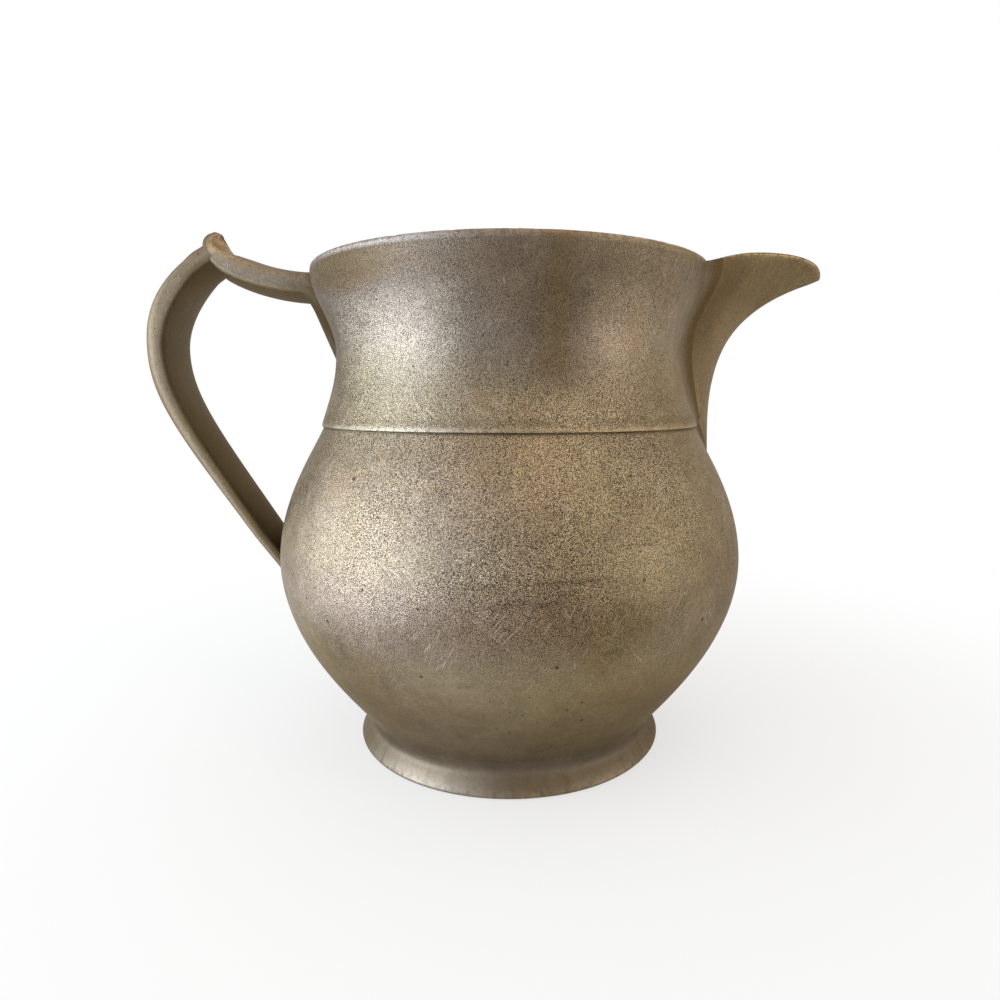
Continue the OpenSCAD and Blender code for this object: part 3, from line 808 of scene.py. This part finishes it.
def build_arm():
    rings, wear_and_sheen, dirt_and_shade = [], [], []
    upper, lower = arm_section(ARM_ROOT)
    across = np.abs(np.concatenate([upper[:, 0], lower[::-1, 0]])) / STRAP_HALF
    for shrink in SHRINKS:
        rings.append(arm_root(shrink))
        # The tongue's spine is lighter and its sides towards the neck darker: a painted highlight, and
        # painted shade in the crease.
        wear_and_sheen.append(0.35 * near(across, 0, 0.35))
        dirt_and_shade.append(0.45 + 0.85 * smooth(across, 0.06, 0.35))
    for t in np.linspace(ARM_ROOT, 1, 90):
        upper, lower = arm_section(t)
        rings.append(np.vstack([placed(ARM_CURVE, t, upper), placed(ARM_CURVE, t, lower)[::-1]]))
        half, edge = arm_half(t), arm_top(t, 1)
        # Rubbed upper edges and the spur's dished face: partly worn copper, partly a painted highlight on the
        # lit face.
        corner = near(np.abs(upper[:, 0]), half - 0.7, 1.3) * (upper[:, 1] > edge - 0.7)
        face = smooth(t, 0.55, 0.8) * (upper[:, 1] > edge - SPUR_DISH - 0.2)
        rub_and_sheen = np.maximum(corner * mix(0.45, 1.0, step(t, 0.3, 0.7)), 0.95 * face)
        wear_and_sheen.append(np.concatenate([rub_and_sheen, np.zeros(len(lower))]))
        # Darker near the neck and all along the underside: painted shade in the joint and under the arm.
        root = 0.45 * (1 - step(t, ARM_ROOT, 0.3))
        below = np.where(np.abs(lower[:, 0]) > half - 0.1, root + 0.4, 0.95)
        dirt_and_shade.append(np.concatenate([np.full(len(upper), root), below]))
    tip, end = bez(ARM_CURVE, 1.0), bez_dir(ARM_CURVE, 1.0)
    centre = np.array([tip[0], 0, tip[1]])
    ahead = np.array([end[0], 0, end[1]])
    last = rings[-1]
    for a in TIP_CAP:
        rings.append(centre + (last - centre) * math.cos(a) + ahead * SPUR_SIDE * CAP_LIFT * math.sin(a))
        wear_and_sheen.append(wear_and_sheen[-1])
        dirt_and_shade.append(np.zeros(len(last)))
    return lofted("handle_top", rings, wear_and_sheen, dirt_and_shade, "handle_arm")


HEAD_P = bez(ARM_CURVE, GRIP_HEAD)
HEAD_D = bez_dir(ARM_CURVE, GRIP_HEAD)
HEAD = HEAD_P - np.array([HEAD_D[1], -HEAD_D[0]]) * (float(arm_under(GRIP_HEAD, 0)) + SKIN_GAP)
FOOT = np.array([-float(body_r(GRIP_Z)) - SKIN_GAP, GRIP_Z])
OUT = np.array([ARM_X - GRIP_STAND, ARM_Z - GRIP_FALL])
GRIP_HIGH = [HEAD, HEAD - polar(HEAD_LEAN, HEAD_PULL), OUT + (0, BEND_HIGH), OUT]
GRIP_LONG = [OUT, OUT - (0, BEND_LOW), FOOT + polar(90 + GRIP_LEAN, GRIP_STRAIGHT), FOOT]
FOOT_LEAN = abs(float(bez_dir(GRIP_LONG, 1.0)[0]))
ARM_SPEED = 3 * np.linalg.norm(bez_pull(ARM_CURVE, GRIP_HEAD))


def bulged(power, depth, n=49):
    """Half of a rounded section from side to side: places across and heights up to a depth."""
    a = np.linspace(math.pi, 0, n)
    across = np.sign(np.cos(a)) * np.abs(np.cos(a)) ** (2 / power)
    return np.stack([STRAP_HALF * across, depth * np.sin(a) ** (2 / power)], axis=-1)


def grip_section(thick, boxed=0.0):
    """Section of the grip: a flat inner face with rounded edges and a back that is round or boxed."""
    inner = bulged(INNER_POWER, GRIP_EDGE) + (0, thick / 2 - GRIP_EDGE)
    back = bulged(mix(BACK_POWER, BOX_POWER, boxed), thick - GRIP_EDGE - GRIP_SIDE) * (1, -1)
    return inner, back + (0, thick / 2 - GRIP_EDGE - GRIP_SIDE)


def head_on_arm(section):
    """Section points of the grip's head, let into the underside of the arm's bend."""
    out = []
    for y, depth in section:
        t = GRIP_HEAD - depth / ARM_SPEED
        p, d = bez(ARM_CURVE, t), bez_dir(ARM_CURVE, t)
        wide = HEAD_WIDER * arm_half(t) / STRAP_HALF
        out.append((p[0] - d[1] * HEAD_LET, y * wide, p[1] + d[0] * HEAD_LET))
    return np.array(out)


def foot_on_belly(section):
    return on_body(section[:, 0], GRIP_Z + section[:, 1] / FOOT_LEAN, SEAT, -1)


def build_grip():
    rings, wear_and_sheen, dirt_and_shade = [], [], []

    def ring(section, place, shade_and_dirt, shrink=1.0):
        inner, back = section
        middle = (inner + back) / 2
        lines = [mix(middle, line, shrink) for line in (inner, back)]
        rings.append(np.vstack([place(lines[0]), place(lines[1])[::-1]]))
        wear_and_sheen.append(np.concatenate([np.zeros(len(inner)), np.full(len(back), 0.1)]))
        # The inner face, turned to the body, is darker and varies across it as painted shade. The back is
        # darker too.
        far = inner[:, 0] / STRAP_HALF
        inside = 0.85 - 0.3 * far ** 4 - 0.25 * far + shade_and_dirt
        dirt_and_shade.append(np.concatenate([inside, np.full(len(back), 0.6 + 0.2 * shade_and_dirt)]))

    # Extra darkness: painted shade near the head under the arm and at the foot by the belly, and dirt lower
    # on the grip.
    for shrink in SHRINKS:
        ring(grip_section(GRIP_HEAD_T * (1 + HEAD_FLARE), 1.0), head_on_arm, 0.0, shrink)
    for t in np.linspace(0.05, 1, 46):
        flare = 1 + HEAD_FLARE * (1 - step(t, 0, 0.22))
        section = grip_section(mix(GRIP_T, GRIP_HEAD_T, (1 - t) ** 2) * flare, 1 - step(t, 0.1, 1))
        shade_and_dirt = 0.3 * (1 - step(t, 0, 0.5))
        ring(section, lambda line: placed(GRIP_HIGH, t, line, -1), shade_and_dirt)
    for t in np.linspace(0.025, 0.9, 70):
        section = grip_section(mix(GRIP_T, GRIP_END_T, t ** 2))
        shade_and_dirt = 0.2 * step(t, 0.1, 0.6) + 0.3 * step(t, 0.75, 1)
        ring(section, lambda line: placed(GRIP_LONG, t, line, -1), shade_and_dirt)
    for shrink in SHRINKS[::-1]:
        ring(grip_section(GRIP_END_T * FOOT_SPREAD), foot_on_belly, 0.5, shrink)
    return lofted("handle_strap", rings, wear_and_sheen, dirt_and_shade, "handle_grip")


foot = build_foot()
base = build_base()
base_seal = build_base_solder()
belly_lower = build_lower_belly()
belly_upper = build_upper_belly()
neck = build_neck()
spout = build_spout()
seams = build_spout_solder()
arm = build_arm()
grip = build_grip()


# Nodes

def add(tree, kind, inputs=None, **settings):
    """A shader node with its settings and inputs, which are values or outputs of other nodes."""
    made = tree.nodes.new("ShaderNode" + kind)
    for key, value in settings.items():
        setattr(made, key, value)
    for key, value in (inputs or {}).items():
        if isinstance(value, bpy.types.NodeSocket):
            tree.links.new(value, made.inputs[key])
        else:
            made.inputs[key].default_value = value
    return made


def math_node(tree, operation, a, b=0.0):
    return add(tree, "Math", {0: a, 1: b}, operation=operation).outputs[0]


def product(tree, value, *factors):
    """A value times each of the factors."""
    for factor in factors:
        value = math_node(tree, "MULTIPLY", value, factor)
    return value


def scaled(tree, value, gain, base):
    """A value times a gain, plus a base."""
    return add(tree, "Math", {0: value, 1: gain, 2: base}, operation="MULTIPLY_ADD").outputs[0]


def ramp(tree, value, low, high, start=0.0, end=1.0):
    """A soft step of a value from low to high, clamped."""
    inputs = {"Value": value, "From Min": low, "From Max": high, "To Min": start, "To Max": end}
    return add(tree, "MapRange", inputs, interpolation_type="SMOOTHSTEP").outputs[0]


def noise_at(tree, place, scale, detail=2.0, rough=0.5):
    inputs = {"Vector": place, "Scale": scale, "Detail": detail, "Roughness": rough}
    return add(tree, "TexNoise", inputs).outputs["Fac"]


def cells_at(tree, place, scale):
    """Cells of a random pattern, with the distance from their middles."""
    return add(tree, "TexVoronoi", {"Vector": place, "Scale": scale}, feature="F1").outputs


def blended(tree, share, a, b, how="MIX"):
    """Colour a turned into colour b by a share."""
    inputs = {"Factor": share, 6: a, 7: b}
    return add(tree, "Mix", inputs, data_type="RGBA", blend_type=how).outputs[2]


def stretched(tree, place, turn, size):
    """Coordinates for marks of that size in metres that run at an angle in the first two directions."""
    inputs = {"Vector": place, "Rotation": (0, 0, math.radians(turn)), "Scale": size}
    return add(tree, "Mapping", inputs, vector_type="TEXTURE").outputs[0]


def unrolled(tree, spot):
    """Coordinates on the body's skin: the way round it and the height, in metres."""
    angle = math_node(tree, "ARCTAN2", spot["Y"], spot["X"])
    around = product(tree, angle, BELLY_R * MM)
    return add(tree, "CombineXYZ", {"X": around, "Y": spot["Z"]}).outputs[0]


# Pewter

COPPER = (0.34, 0.22, 0.12, 1)
MAUVE = (1.0, 0.92, 1.02, 1)
OLIVE = (1.03, 0.97, 0.78, 1)
SILVER = (1.08, 1.13, 1.26, 1)
COOL = (1.0, 0.985, 1.11, 1)
RUBBED = (0.55, 0.51, 0.44, 1)
# Colours of rubbed edges. The silver one on the lit left side is partly a painted cool highlight, the gold
# one is on the right, and the copper one on the handle is partly a painted highlight on the spur.
RUBBED_SHEEN_SILVER = (0.46, 0.43, 0.375, 1)
RUBBED_SHEEN_GOLD = (0.48, 0.38, 0.25, 1)
RUBBED_SHEEN_COPPER = (0.58, 0.38, 0.19, 1)
PIT = (0.05, 0.036, 0.024, 1)
# Colour of the dirt, which also paints shade in creases, under the handle and on the dim sides
DIRT_AND_SHADE = (0.085, 0.062, 0.038, 1)
EDGE_TINT = (0.62, 0.58, 0.52, 1)

# Patterns of the metal: scale per metre, detail and roughness
BROAD_NOISE = 15.0, 3.0, 0.55
HUE_NOISE = 22.0, 3.0
MOTTLE_NOISE = 120.0, 5.0, 0.66
SPECK_NOISE = 700.0, 1.0, 0.5
SAND_NOISE = 2800.0, 1.0, 0.6
GRAIN_NOISE = 26.0, 2.0
PIT_NOISE = 34.0, 2.0
COPPER_NOISE = 38.0, 3.0, 0.6
LATHE_NOISE = 1.0, 3.0, 0.6
LATHE_SIZE = 0.11, 0.0019, 0.11
CRYSTAL_SCALE = 4000.0
CRYSTAL_MEAN = 0.46
PIT_SCALES = 270.0, 600.0
# Base of the grain's swing in brightness, which paints glints into the colour
GLINT = 20.0

# Each run of scratches: its angle, and the length and width of a scratch in metres
SCRATCHES = [(22, 0.0075, 0.00032), (64, 0.0060, 0.00036), (-35, 0.0070, 0.00032), (-80, 0.0050, 0.00038),
             (48, 0.0090, 0.00030)]

# Each run of deeper dark nicks, in the same way
NICKS = [(82, 0.0050, 0.00060), (112, 0.0044, 0.00055)]

# Values of the noise between which a scratch or a nick appears
SCRATCH_REACH = 0.665, 0.735
NICK_REACH = 0.74, 0.79


def scratch_lines(tree, sheet, runs, reach):
    """Short thin marks that run in several directions."""
    total = None
    for i, (turn, length, width) in enumerate(runs):
        moved = add(tree, "VectorMath", {0: sheet, 1: (0.37 * i, 0.21 * i, 0.11 * i)}).outputs[0]
        grid = stretched(tree, moved, turn, (length, width, length))
        line = ramp(tree, noise_at(tree, grid, 1.0, 1.0), *reach)
        patch = ramp(tree, noise_at(tree, moved, 60.0 + 9 * i, 1.0), 0.53, 0.62)
        line = product(tree, line, patch)
        total = line if total is None else math_node(tree, "MAXIMUM", total, line)
    return total


def pit_marks(tree, place, scale, share):
    """Small round pits in a share of the cells of a random pattern."""
    cell = cells_at(tree, place, scale)
    draw = add(tree, "SeparateColor", {0: cell["Color"]}).outputs
    size = scaled(tree, draw["Green"], 0.13, 0.07)
    hole = ramp(tree, math_node(tree, "SUBTRACT", size, cell["Distance"]), -0.02, 0.08)
    return product(tree, hole, math_node(tree, "GREATER_THAN", share, draw["Red"]))


def body_grain(tree, coarse, spot):
    """Grain of the round body: weak at the foot and flanks, and on the neck weaker towards the spout, so that
    the grain and its painted glints are strongest where the light falls.
    """
    height, side = spot["Z"], spot["X"]
    neck_share = ramp(tree, side, -0.03, 0.0, 0.80, 0.46)
    on_neck = ramp(tree, height, 0.102, 0.125, 1.0, neck_share)
    above_foot = ramp(tree, height, 0.03, 0.088, 0.2, 1.4)
    inside_flanks = ramp(tree, math_node(tree, "ABSOLUTE", side), 0.036, 0.064, 1.05, 0.55)
    return product(tree, coarse, on_neck, above_foot, inside_flanks)


def metal_marks(tree, place, spot, round_body, grain, scratched, pitted):
    """Marks on the metal by name, as values over its surface."""
    sheet = unrolled(tree, spot) if round_body else place
    speck = noise_at(tree, place, *SPECK_NOISE)
    wear_and_sheen = add(tree, "Attribute", attribute_name="wear_and_sheen").outputs["Fac"]
    coarse = ramp(tree, noise_at(tree, place, *GRAIN_NOISE), 0.35, 0.6, 0.75 * grain, 1.15 * grain)
    lines = product(tree, scratch_lines(tree, sheet, SCRATCHES, SCRATCH_REACH), scratched)
    if round_body:
        coarse = body_grain(tree, coarse, spot)
        lines = product(tree, lines, ramp(tree, spot["Z"], 0.025, 0.055, 0.3, 1.0))
    sand = math_node(tree, "SUBTRACT", noise_at(tree, place, *SAND_NOISE), 0.5)
    crystal = math_node(tree, "SUBTRACT", CRYSTAL_MEAN, cells_at(tree, place, CRYSTAL_SCALE)["Distance"])
    clusters = ramp(tree, noise_at(tree, place, *PIT_NOISE), 0.42, 0.68, 0.25 * pitted, 2.2 * pitted)
    pits = math_node(tree, "MAXIMUM", *[pit_marks(tree, place, scale, clusters) for scale in PIT_SCALES])
    return SimpleNamespace(
        mottle=noise_at(tree, place, *MOTTLE_NOISE),
        speck=speck,
        grit=product(tree, sand, coarse),
        facets=product(tree, crystal, coarse),
        lathe=noise_at(tree, stretched(tree, sheet, 0, LATHE_SIZE), *LATHE_NOISE),
        lines=lines,
        nicks=product(tree, scratch_lines(tree, sheet, NICKS, NICK_REACH), scratched),
        pits=product(tree, pits, ramp(tree, wear_and_sheen, 0.2, 0.6, 1.0, 0.0)),
        rubbed_and_sheen=product(tree, wear_and_sheen, ramp(tree, speck, 0.28, 0.60)),
        dirt_and_shade=add(tree, "Attribute", attribute_name="dirt_and_shade").outputs["Fac"])


def patina(tree, place, light, dark):
    """Broad patches between a light and a dark colour, with a tinge of mauve in places."""
    broad = ramp(tree, noise_at(tree, place, *BROAD_NOISE), 0.36, 0.64)
    hue = noise_at(tree, place, *HUE_NOISE).node.outputs["Color"]
    mauve = product(tree, ramp(tree, hue, 0.4, 0.62), 0.5)
    return blended(tree, mauve, blended(tree, broad, light, dark), MAUVE, "MULTIPLY")


def body_tint(tree, colour, spot):
    """Olive low on the body, most on the spout's side, partly patina and partly a painted reflection of dim
    warm surroundings. Silver on the neck, partly a painted cool sheen of its light.
    """
    height, side = spot["Z"], spot["X"]
    low = ramp(tree, height, 0.026, 0.060, 1.0, 0.0)
    off_foot = ramp(tree, height, 0.008, 0.034, 0.35, 1.0)
    olive = product(tree, low, off_foot, ramp(tree, side, -0.03, 0.03, 0.7, 1.35))
    colour = blended(tree, olive, colour, OLIVE, "MULTIPLY")
    return blended(tree, ramp(tree, height, 0.104, 0.135), colour, SILVER, "MULTIPLY")


def cool_tint(tree, colour, spot):
    """A cool tinge in a belt below the belly's middle and on the neck, but little by the spout, which partly
    paints the cool sheen of the light there.
    """
    height, side = spot["Z"], spot["X"]
    belt = product(tree, ramp(tree, height, 0.044, 0.053), ramp(tree, height, 0.060, 0.072, 1.0, 0.0))
    cool = math_node(tree, "MAXIMUM", belt, ramp(tree, height, 0.115, 0.14))
    cool = product(tree, cool, ramp(tree, side, 0.005, 0.04, 1.0, 0.15))
    return blended(tree, cool, colour, COOL, "MULTIPLY")


def toned(tree, colour, marks, grain):
    """A colour with the light and dark of mottle, grain, specks and turning lines. The grain is skewed to
    bright specks, which are partly painted glints.
    """
    tone = product(tree, scaled(tree, marks.mottle, 0.90, 0.55),
                   math_node(tree, "POWER", GLINT, scaled(tree, marks.grit, 0.35, marks.facets)),
                   scaled(tree, marks.speck, 0.3 * grain, 1 - 0.15 * grain),
                   scaled(tree, marks.lathe, 0.12, 0.94))
    shade = add(tree, "CombineColor", {0: tone, 1: tone, 2: tone}).outputs[0]
    return blended(tree, 1.0, colour, shade, "MULTIPLY")


def aged(tree, colour, place, marks, edge):
    """A colour with copper stains, scratches, nicks, pits, rubbed edges with painted sheen, and dirt with
    painted shade laid over it in turn.
    """
    stains = ramp(tree, noise_at(tree, place, *COPPER_NOISE), 0.56, 0.74)
    layers = [(stains, 0.3, COPPER), (marks.lines, 0.6, RUBBED), (marks.nicks, 0.7, PIT),
              (marks.pits, 0.6, PIT), (marks.rubbed_and_sheen, 0.75, edge), (marks.dirt_and_shade, 0.62, DIRT_AND_SHADE)]
    for mark, share, paint in layers:
        colour = blended(tree, product(tree, mark, share), colour, paint)
    # Olive where the dirt and painted shade are heaviest.
    return blended(tree, ramp(tree, marks.dirt_and_shade, 0.7, 1.1), colour, OLIVE, "MULTIPLY")


def roughness(tree, marks, rough):
    """Roughness: more in pits and where dirt and painted shade lie, less where the metal is rubbed or has
    painted sheen.
    """
    value = rough - 0.10
    for mark, gain in ((marks.mottle, 0.20), (marks.pits, 0.2), (marks.dirt_and_shade, 0.14), (marks.rubbed_and_sheen, -0.10)):
        value = scaled(tree, mark, gain, value)
    return value


def relief(tree, marks, grain):
    """Normals from the marks, whose depths are in millimetres."""
    depths = [(marks.grit, 0.072), (marks.facets, 0.042), (marks.speck, 0.02 * grain), (marks.mottle, 0.07),
              (marks.pits, -0.12), (marks.lines, -0.03), (marks.lathe, 0.012)]
    height = 0.0
    for mark, depth in depths:
        height = scaled(tree, mark, depth, height)
    return add(tree, "Bump", {"Height": height, "Distance": MM, "Strength": 1.0}).outputs[0]


def pewter(name, light, dark, rough, round_body=False, tinted=False, grain=1.0, scratched=1.0, pitted=0.08,
           edge=None):
    """Aged pewter: broad patches of patina, sandy grain with painted glints, pits, scratches, rubbed edges
    with painted sheen, and dirt with painted shade.
    """
    material = bpy.data.materials.new(name)
    material.use_nodes = True
    tree = material.node_tree
    place = add(tree, "TexCoord").outputs["Object"]
    spot = add(tree, "SeparateXYZ", {0: place}).outputs
    marks = metal_marks(tree, place, spot, round_body, grain, scratched, pitted)
    if edge is None:
        # Rubbed edges are silver on the left and gold on the right. The silver is partly a painted highlight
        # of the lit side.
        edge = blended(tree, ramp(tree, spot["X"], -0.02, 0.0), RUBBED_SHEEN_SILVER, RUBBED_SHEEN_GOLD)
    colour = patina(tree, place, light, dark)
    if tinted:
        colour = body_tint(tree, colour, spot)
    colour = aged(tree, toned(tree, colour, marks, grain), place, marks, edge)
    if tinted:
        colour = cool_tint(tree, colour, spot)
    shader = tree.nodes["Principled BSDF"]
    tree.links.new(colour, shader.inputs["Base Color"])
    tree.links.new(roughness(tree, marks, rough), shader.inputs["Roughness"])
    tree.links.new(relief(tree, marks, grain), shader.inputs["Normal"])
    shader.inputs["Metallic"].default_value = 1.0
    shader.inputs["Specular Tint"].default_value = EDGE_TINT
    return material


body_metal = pewter("pewter_body", (0.315, 0.268, 0.195, 1), (0.255, 0.21, 0.142, 1), 0.45,
                    round_body=True, tinted=True)
foot_metal = pewter("pewter_foot", (0.305, 0.266, 0.205, 1), (0.25, 0.212, 0.156, 1), 0.47,
                    round_body=True, grain=0.8, scratched=0.4)
spout_metal = pewter("pewter_spout", (0.280, 0.226, 0.146, 1), (0.232, 0.184, 0.115, 1), 0.46,
                     grain=0.4, scratched=0.5, pitted=0.02)
handle_metal = pewter("pewter_handle", (0.276, 0.234, 0.170, 1), (0.228, 0.186, 0.131, 1), 0.44,
                      grain=0.4, scratched=0.3, pitted=0.02, edge=RUBBED_SHEEN_COPPER)
solder_metal = pewter("solder", (0.265, 0.218, 0.163, 1), (0.222, 0.178, 0.132, 1), 0.48,
                      grain=0.5, scratched=0.2, pitted=0.02)
FINISHES = [(body_metal, belly_lower, belly_upper, neck), (foot_metal, foot, base), (spout_metal, spout),
            (handle_metal, arm, grip), (solder_metal, base_seal, seams)]
for material, *pieces in FINISHES:
    for piece in pieces:
        piece.data.materials.append(material)


# Floor, light and camera, in metres

WHITE = (1, 1, 1, 1)
FLOOR_COLOUR = (0.90, 0.90, 0.89, 1)
FLOOR_WIDTH = 12.0
FLOOR_DROP = 0.0002
AMBIENT = 0.85
BELLY_MIDDLE = (0, 0, 0.08)

# Each softbox: name, place, size, watts, colour and, if it isn't the belly, the point it faces
SOFTBOXES = [
    ("key", (-0.677, -0.262, 0.215), (0.86, 0.41), 4.65, (0.80, 0.91, 1.0)),
    ("low", (-0.38, -0.20, 0.004), (0.46, 0.46), 1.55, (0.82, 0.92, 1.0), (-0.38, -0.20, 1.0)),
    ("fill", (0.67, -0.34, 0.12), (0.30, 0.30), 0.50, (1.0, 0.90, 0.76)),
    ("warm", (0.26, -0.38, 0.62), (0.16, 0.16), 0.28, (1.0, 0.64, 0.27))]

# Each card that the metal mirrors, in the same way but without watts
FLAGS = [
    ("flag_front", (0.11, -0.735, 0.10), (0.50, 0.62), (0.28, 0.23, 0.195, 1)),
    ("flag_right", (0.76, -0.05, 0.27), (1.3, 0.26), (1.14, 0.98, 0.74, 1), (0, -0.05, 0.27)),
    ("flag_cool", (-0.352, -0.662, 0.16), (0.47, 0.50), (0.95, 1.06, 1.22, 1)),
    ("flag_high", (0.76, -0.05, 0.56), (1.3, 0.34), (0.44, 0.37, 0.25, 1), (0, -0.05, 0.08)),
    ("flag_top", (0.1, -0.45, 0.75), (1.0, 0.7), (0.98, 0.84, 0.62, 1)),
    ("flag_table", (0.30, -0.40, 0.004), (1.1, 0.56), (0.48, 0.38, 0.19, 1), (0.30, -0.40, 1.0)),
    ("flag_near", (0.16, -0.105, 0.005), (0.24, 0.05), (0.44, 0.35, 0.16, 1), (0.16, -0.105, 1.0)),
    ("flag_strip", (0.16, -0.22, 0.005), (0.66, 0.14), (0.74, 0.62, 0.43, 1), (0.16, -0.235, 1.0)),
    ("flag_side", (0.44, -0.05, 0.006), (0.38, 0.50), (0.85, 0.72, 0.47, 1), (0.44, -0.05, 1.0))]


def background_rays(tree):
    """1 for the rays that show the background: those from the camera, from gloss and through glass."""
    path = add(tree, "LightPath").outputs
    seen = math_node(tree, "MAXIMUM", path["Is Camera Ray"], path["Is Glossy Ray"])
    return math_node(tree, "MAXIMUM", seen, path["Is Transmission Ray"])


def build_world():
    world = bpy.data.worlds.new("studio")
    world.use_nodes = True
    tree = world.node_tree
    tree.nodes.clear()
    ambient = add(tree, "Background", {"Color": WHITE, "Strength": AMBIENT}).outputs[0]
    white = add(tree, "Background", {"Color": WHITE, "Strength": 1.0}).outputs[0]
    both = add(tree, "MixShader", {0: background_rays(tree), 1: ambient, 2: white}).outputs[0]
    add(tree, "OutputWorld", {"Surface": both})
    scene.world = world


def rectangle(name, width, height):
    """A flat object round its origin, and the empty node tree of its material."""
    x, y = width / 2, height / 2
    mesh = bpy.data.meshes.new(name)
    mesh.from_pydata([(-x, -y, 0), (x, -y, 0), (x, y, 0), (-x, y, 0)], [], [(0, 1, 2, 3)])
    material = bpy.data.materials.new(name)
    material.use_nodes = True
    material.node_tree.nodes.clear()
    mesh.materials.append(material)
    return in_scene(name, mesh), material.node_tree


def build_floor():
    floor, tree = rectangle("floor", FLOOR_WIDTH, FLOOR_WIDTH)
    floor.location.z = -FLOOR_DROP
    place = add(tree, "TexCoord").outputs["Object"]
    reach = add(tree, "VectorMath", {0: place}, operation="LENGTH").outputs["Value"]
    far = ramp(tree, reach, 0.10, 0.30, 0.6, 1.0)
    matte = add(tree, "BsdfDiffuse", {"Color": FLOOR_COLOUR}).outputs[0]
    white = add(tree, "Emission", {"Color": WHITE, "Strength": 1.0}).outputs[0]
    share = product(tree, far, background_rays(tree))
    both = add(tree, "MixShader", {0: share, 1: matte, 2: white}).outputs[0]
    add(tree, "OutputMaterial", {"Surface": both})


def aimed(obj, place, target):
    obj.location = place
    obj.rotation_euler = (Vector(target) - Vector(place)).to_track_quat("-Z", "Y").to_euler()


def softbox(name, place, size, watts, colour, target=BELLY_MIDDLE):
    lamp = bpy.data.lights.new(name, "AREA")
    lamp.shape = "RECTANGLE"
    lamp.size, lamp.size_y = size
    lamp.energy = watts
    lamp.color = colour
    obj = in_scene(name, lamp)
    aimed(obj, place, target)
    obj.visible_camera = False


def flag(name, place, size, colour, target=BELLY_MIDDLE):
    """A card out of the picture, seen only in the metal, that shapes its shine."""
    card, tree = rectangle(name, *size)
    aimed(card, place, target)
    card.visible_camera = False
    card.visible_diffuse = False
    card.visible_shadow = False
    shine = add(tree, "Emission", {"Color": colour, "Strength": 1.0}).outputs[0]
    add(tree, "OutputMaterial", {"Surface": shine})


build_world()
build_floor()
for settings in SOFTBOXES:
    softbox(*settings)
for settings in FLAGS:
    flag(*settings)

# The camera of the photograph: sizes in its pixels, and degrees down from level
PHOTO_SIZE = 1000
PHOTO_FOCAL = 690.0
PHOTO_CENTRE_X = 509.4
CAMERA_PITCH = 8.318
CAMERA_PLACE = (0, -0.232, 0.1124)
SENSOR = 36.0
camera_data = bpy.data.cameras.new("camera")
camera_data.sensor_width = SENSOR
camera_data.lens = SENSOR * PHOTO_FOCAL / PHOTO_SIZE
camera_data.shift_x = (PHOTO_SIZE / 2 - PHOTO_CENTRE_X) / PHOTO_SIZE
camera_data.clip_start = 0.01
camera = in_scene("camera", camera_data)
camera.location = CAMERA_PLACE
camera.rotation_euler = (math.radians(90 - CAMERA_PITCH), 0, 0)
scene.camera = camera
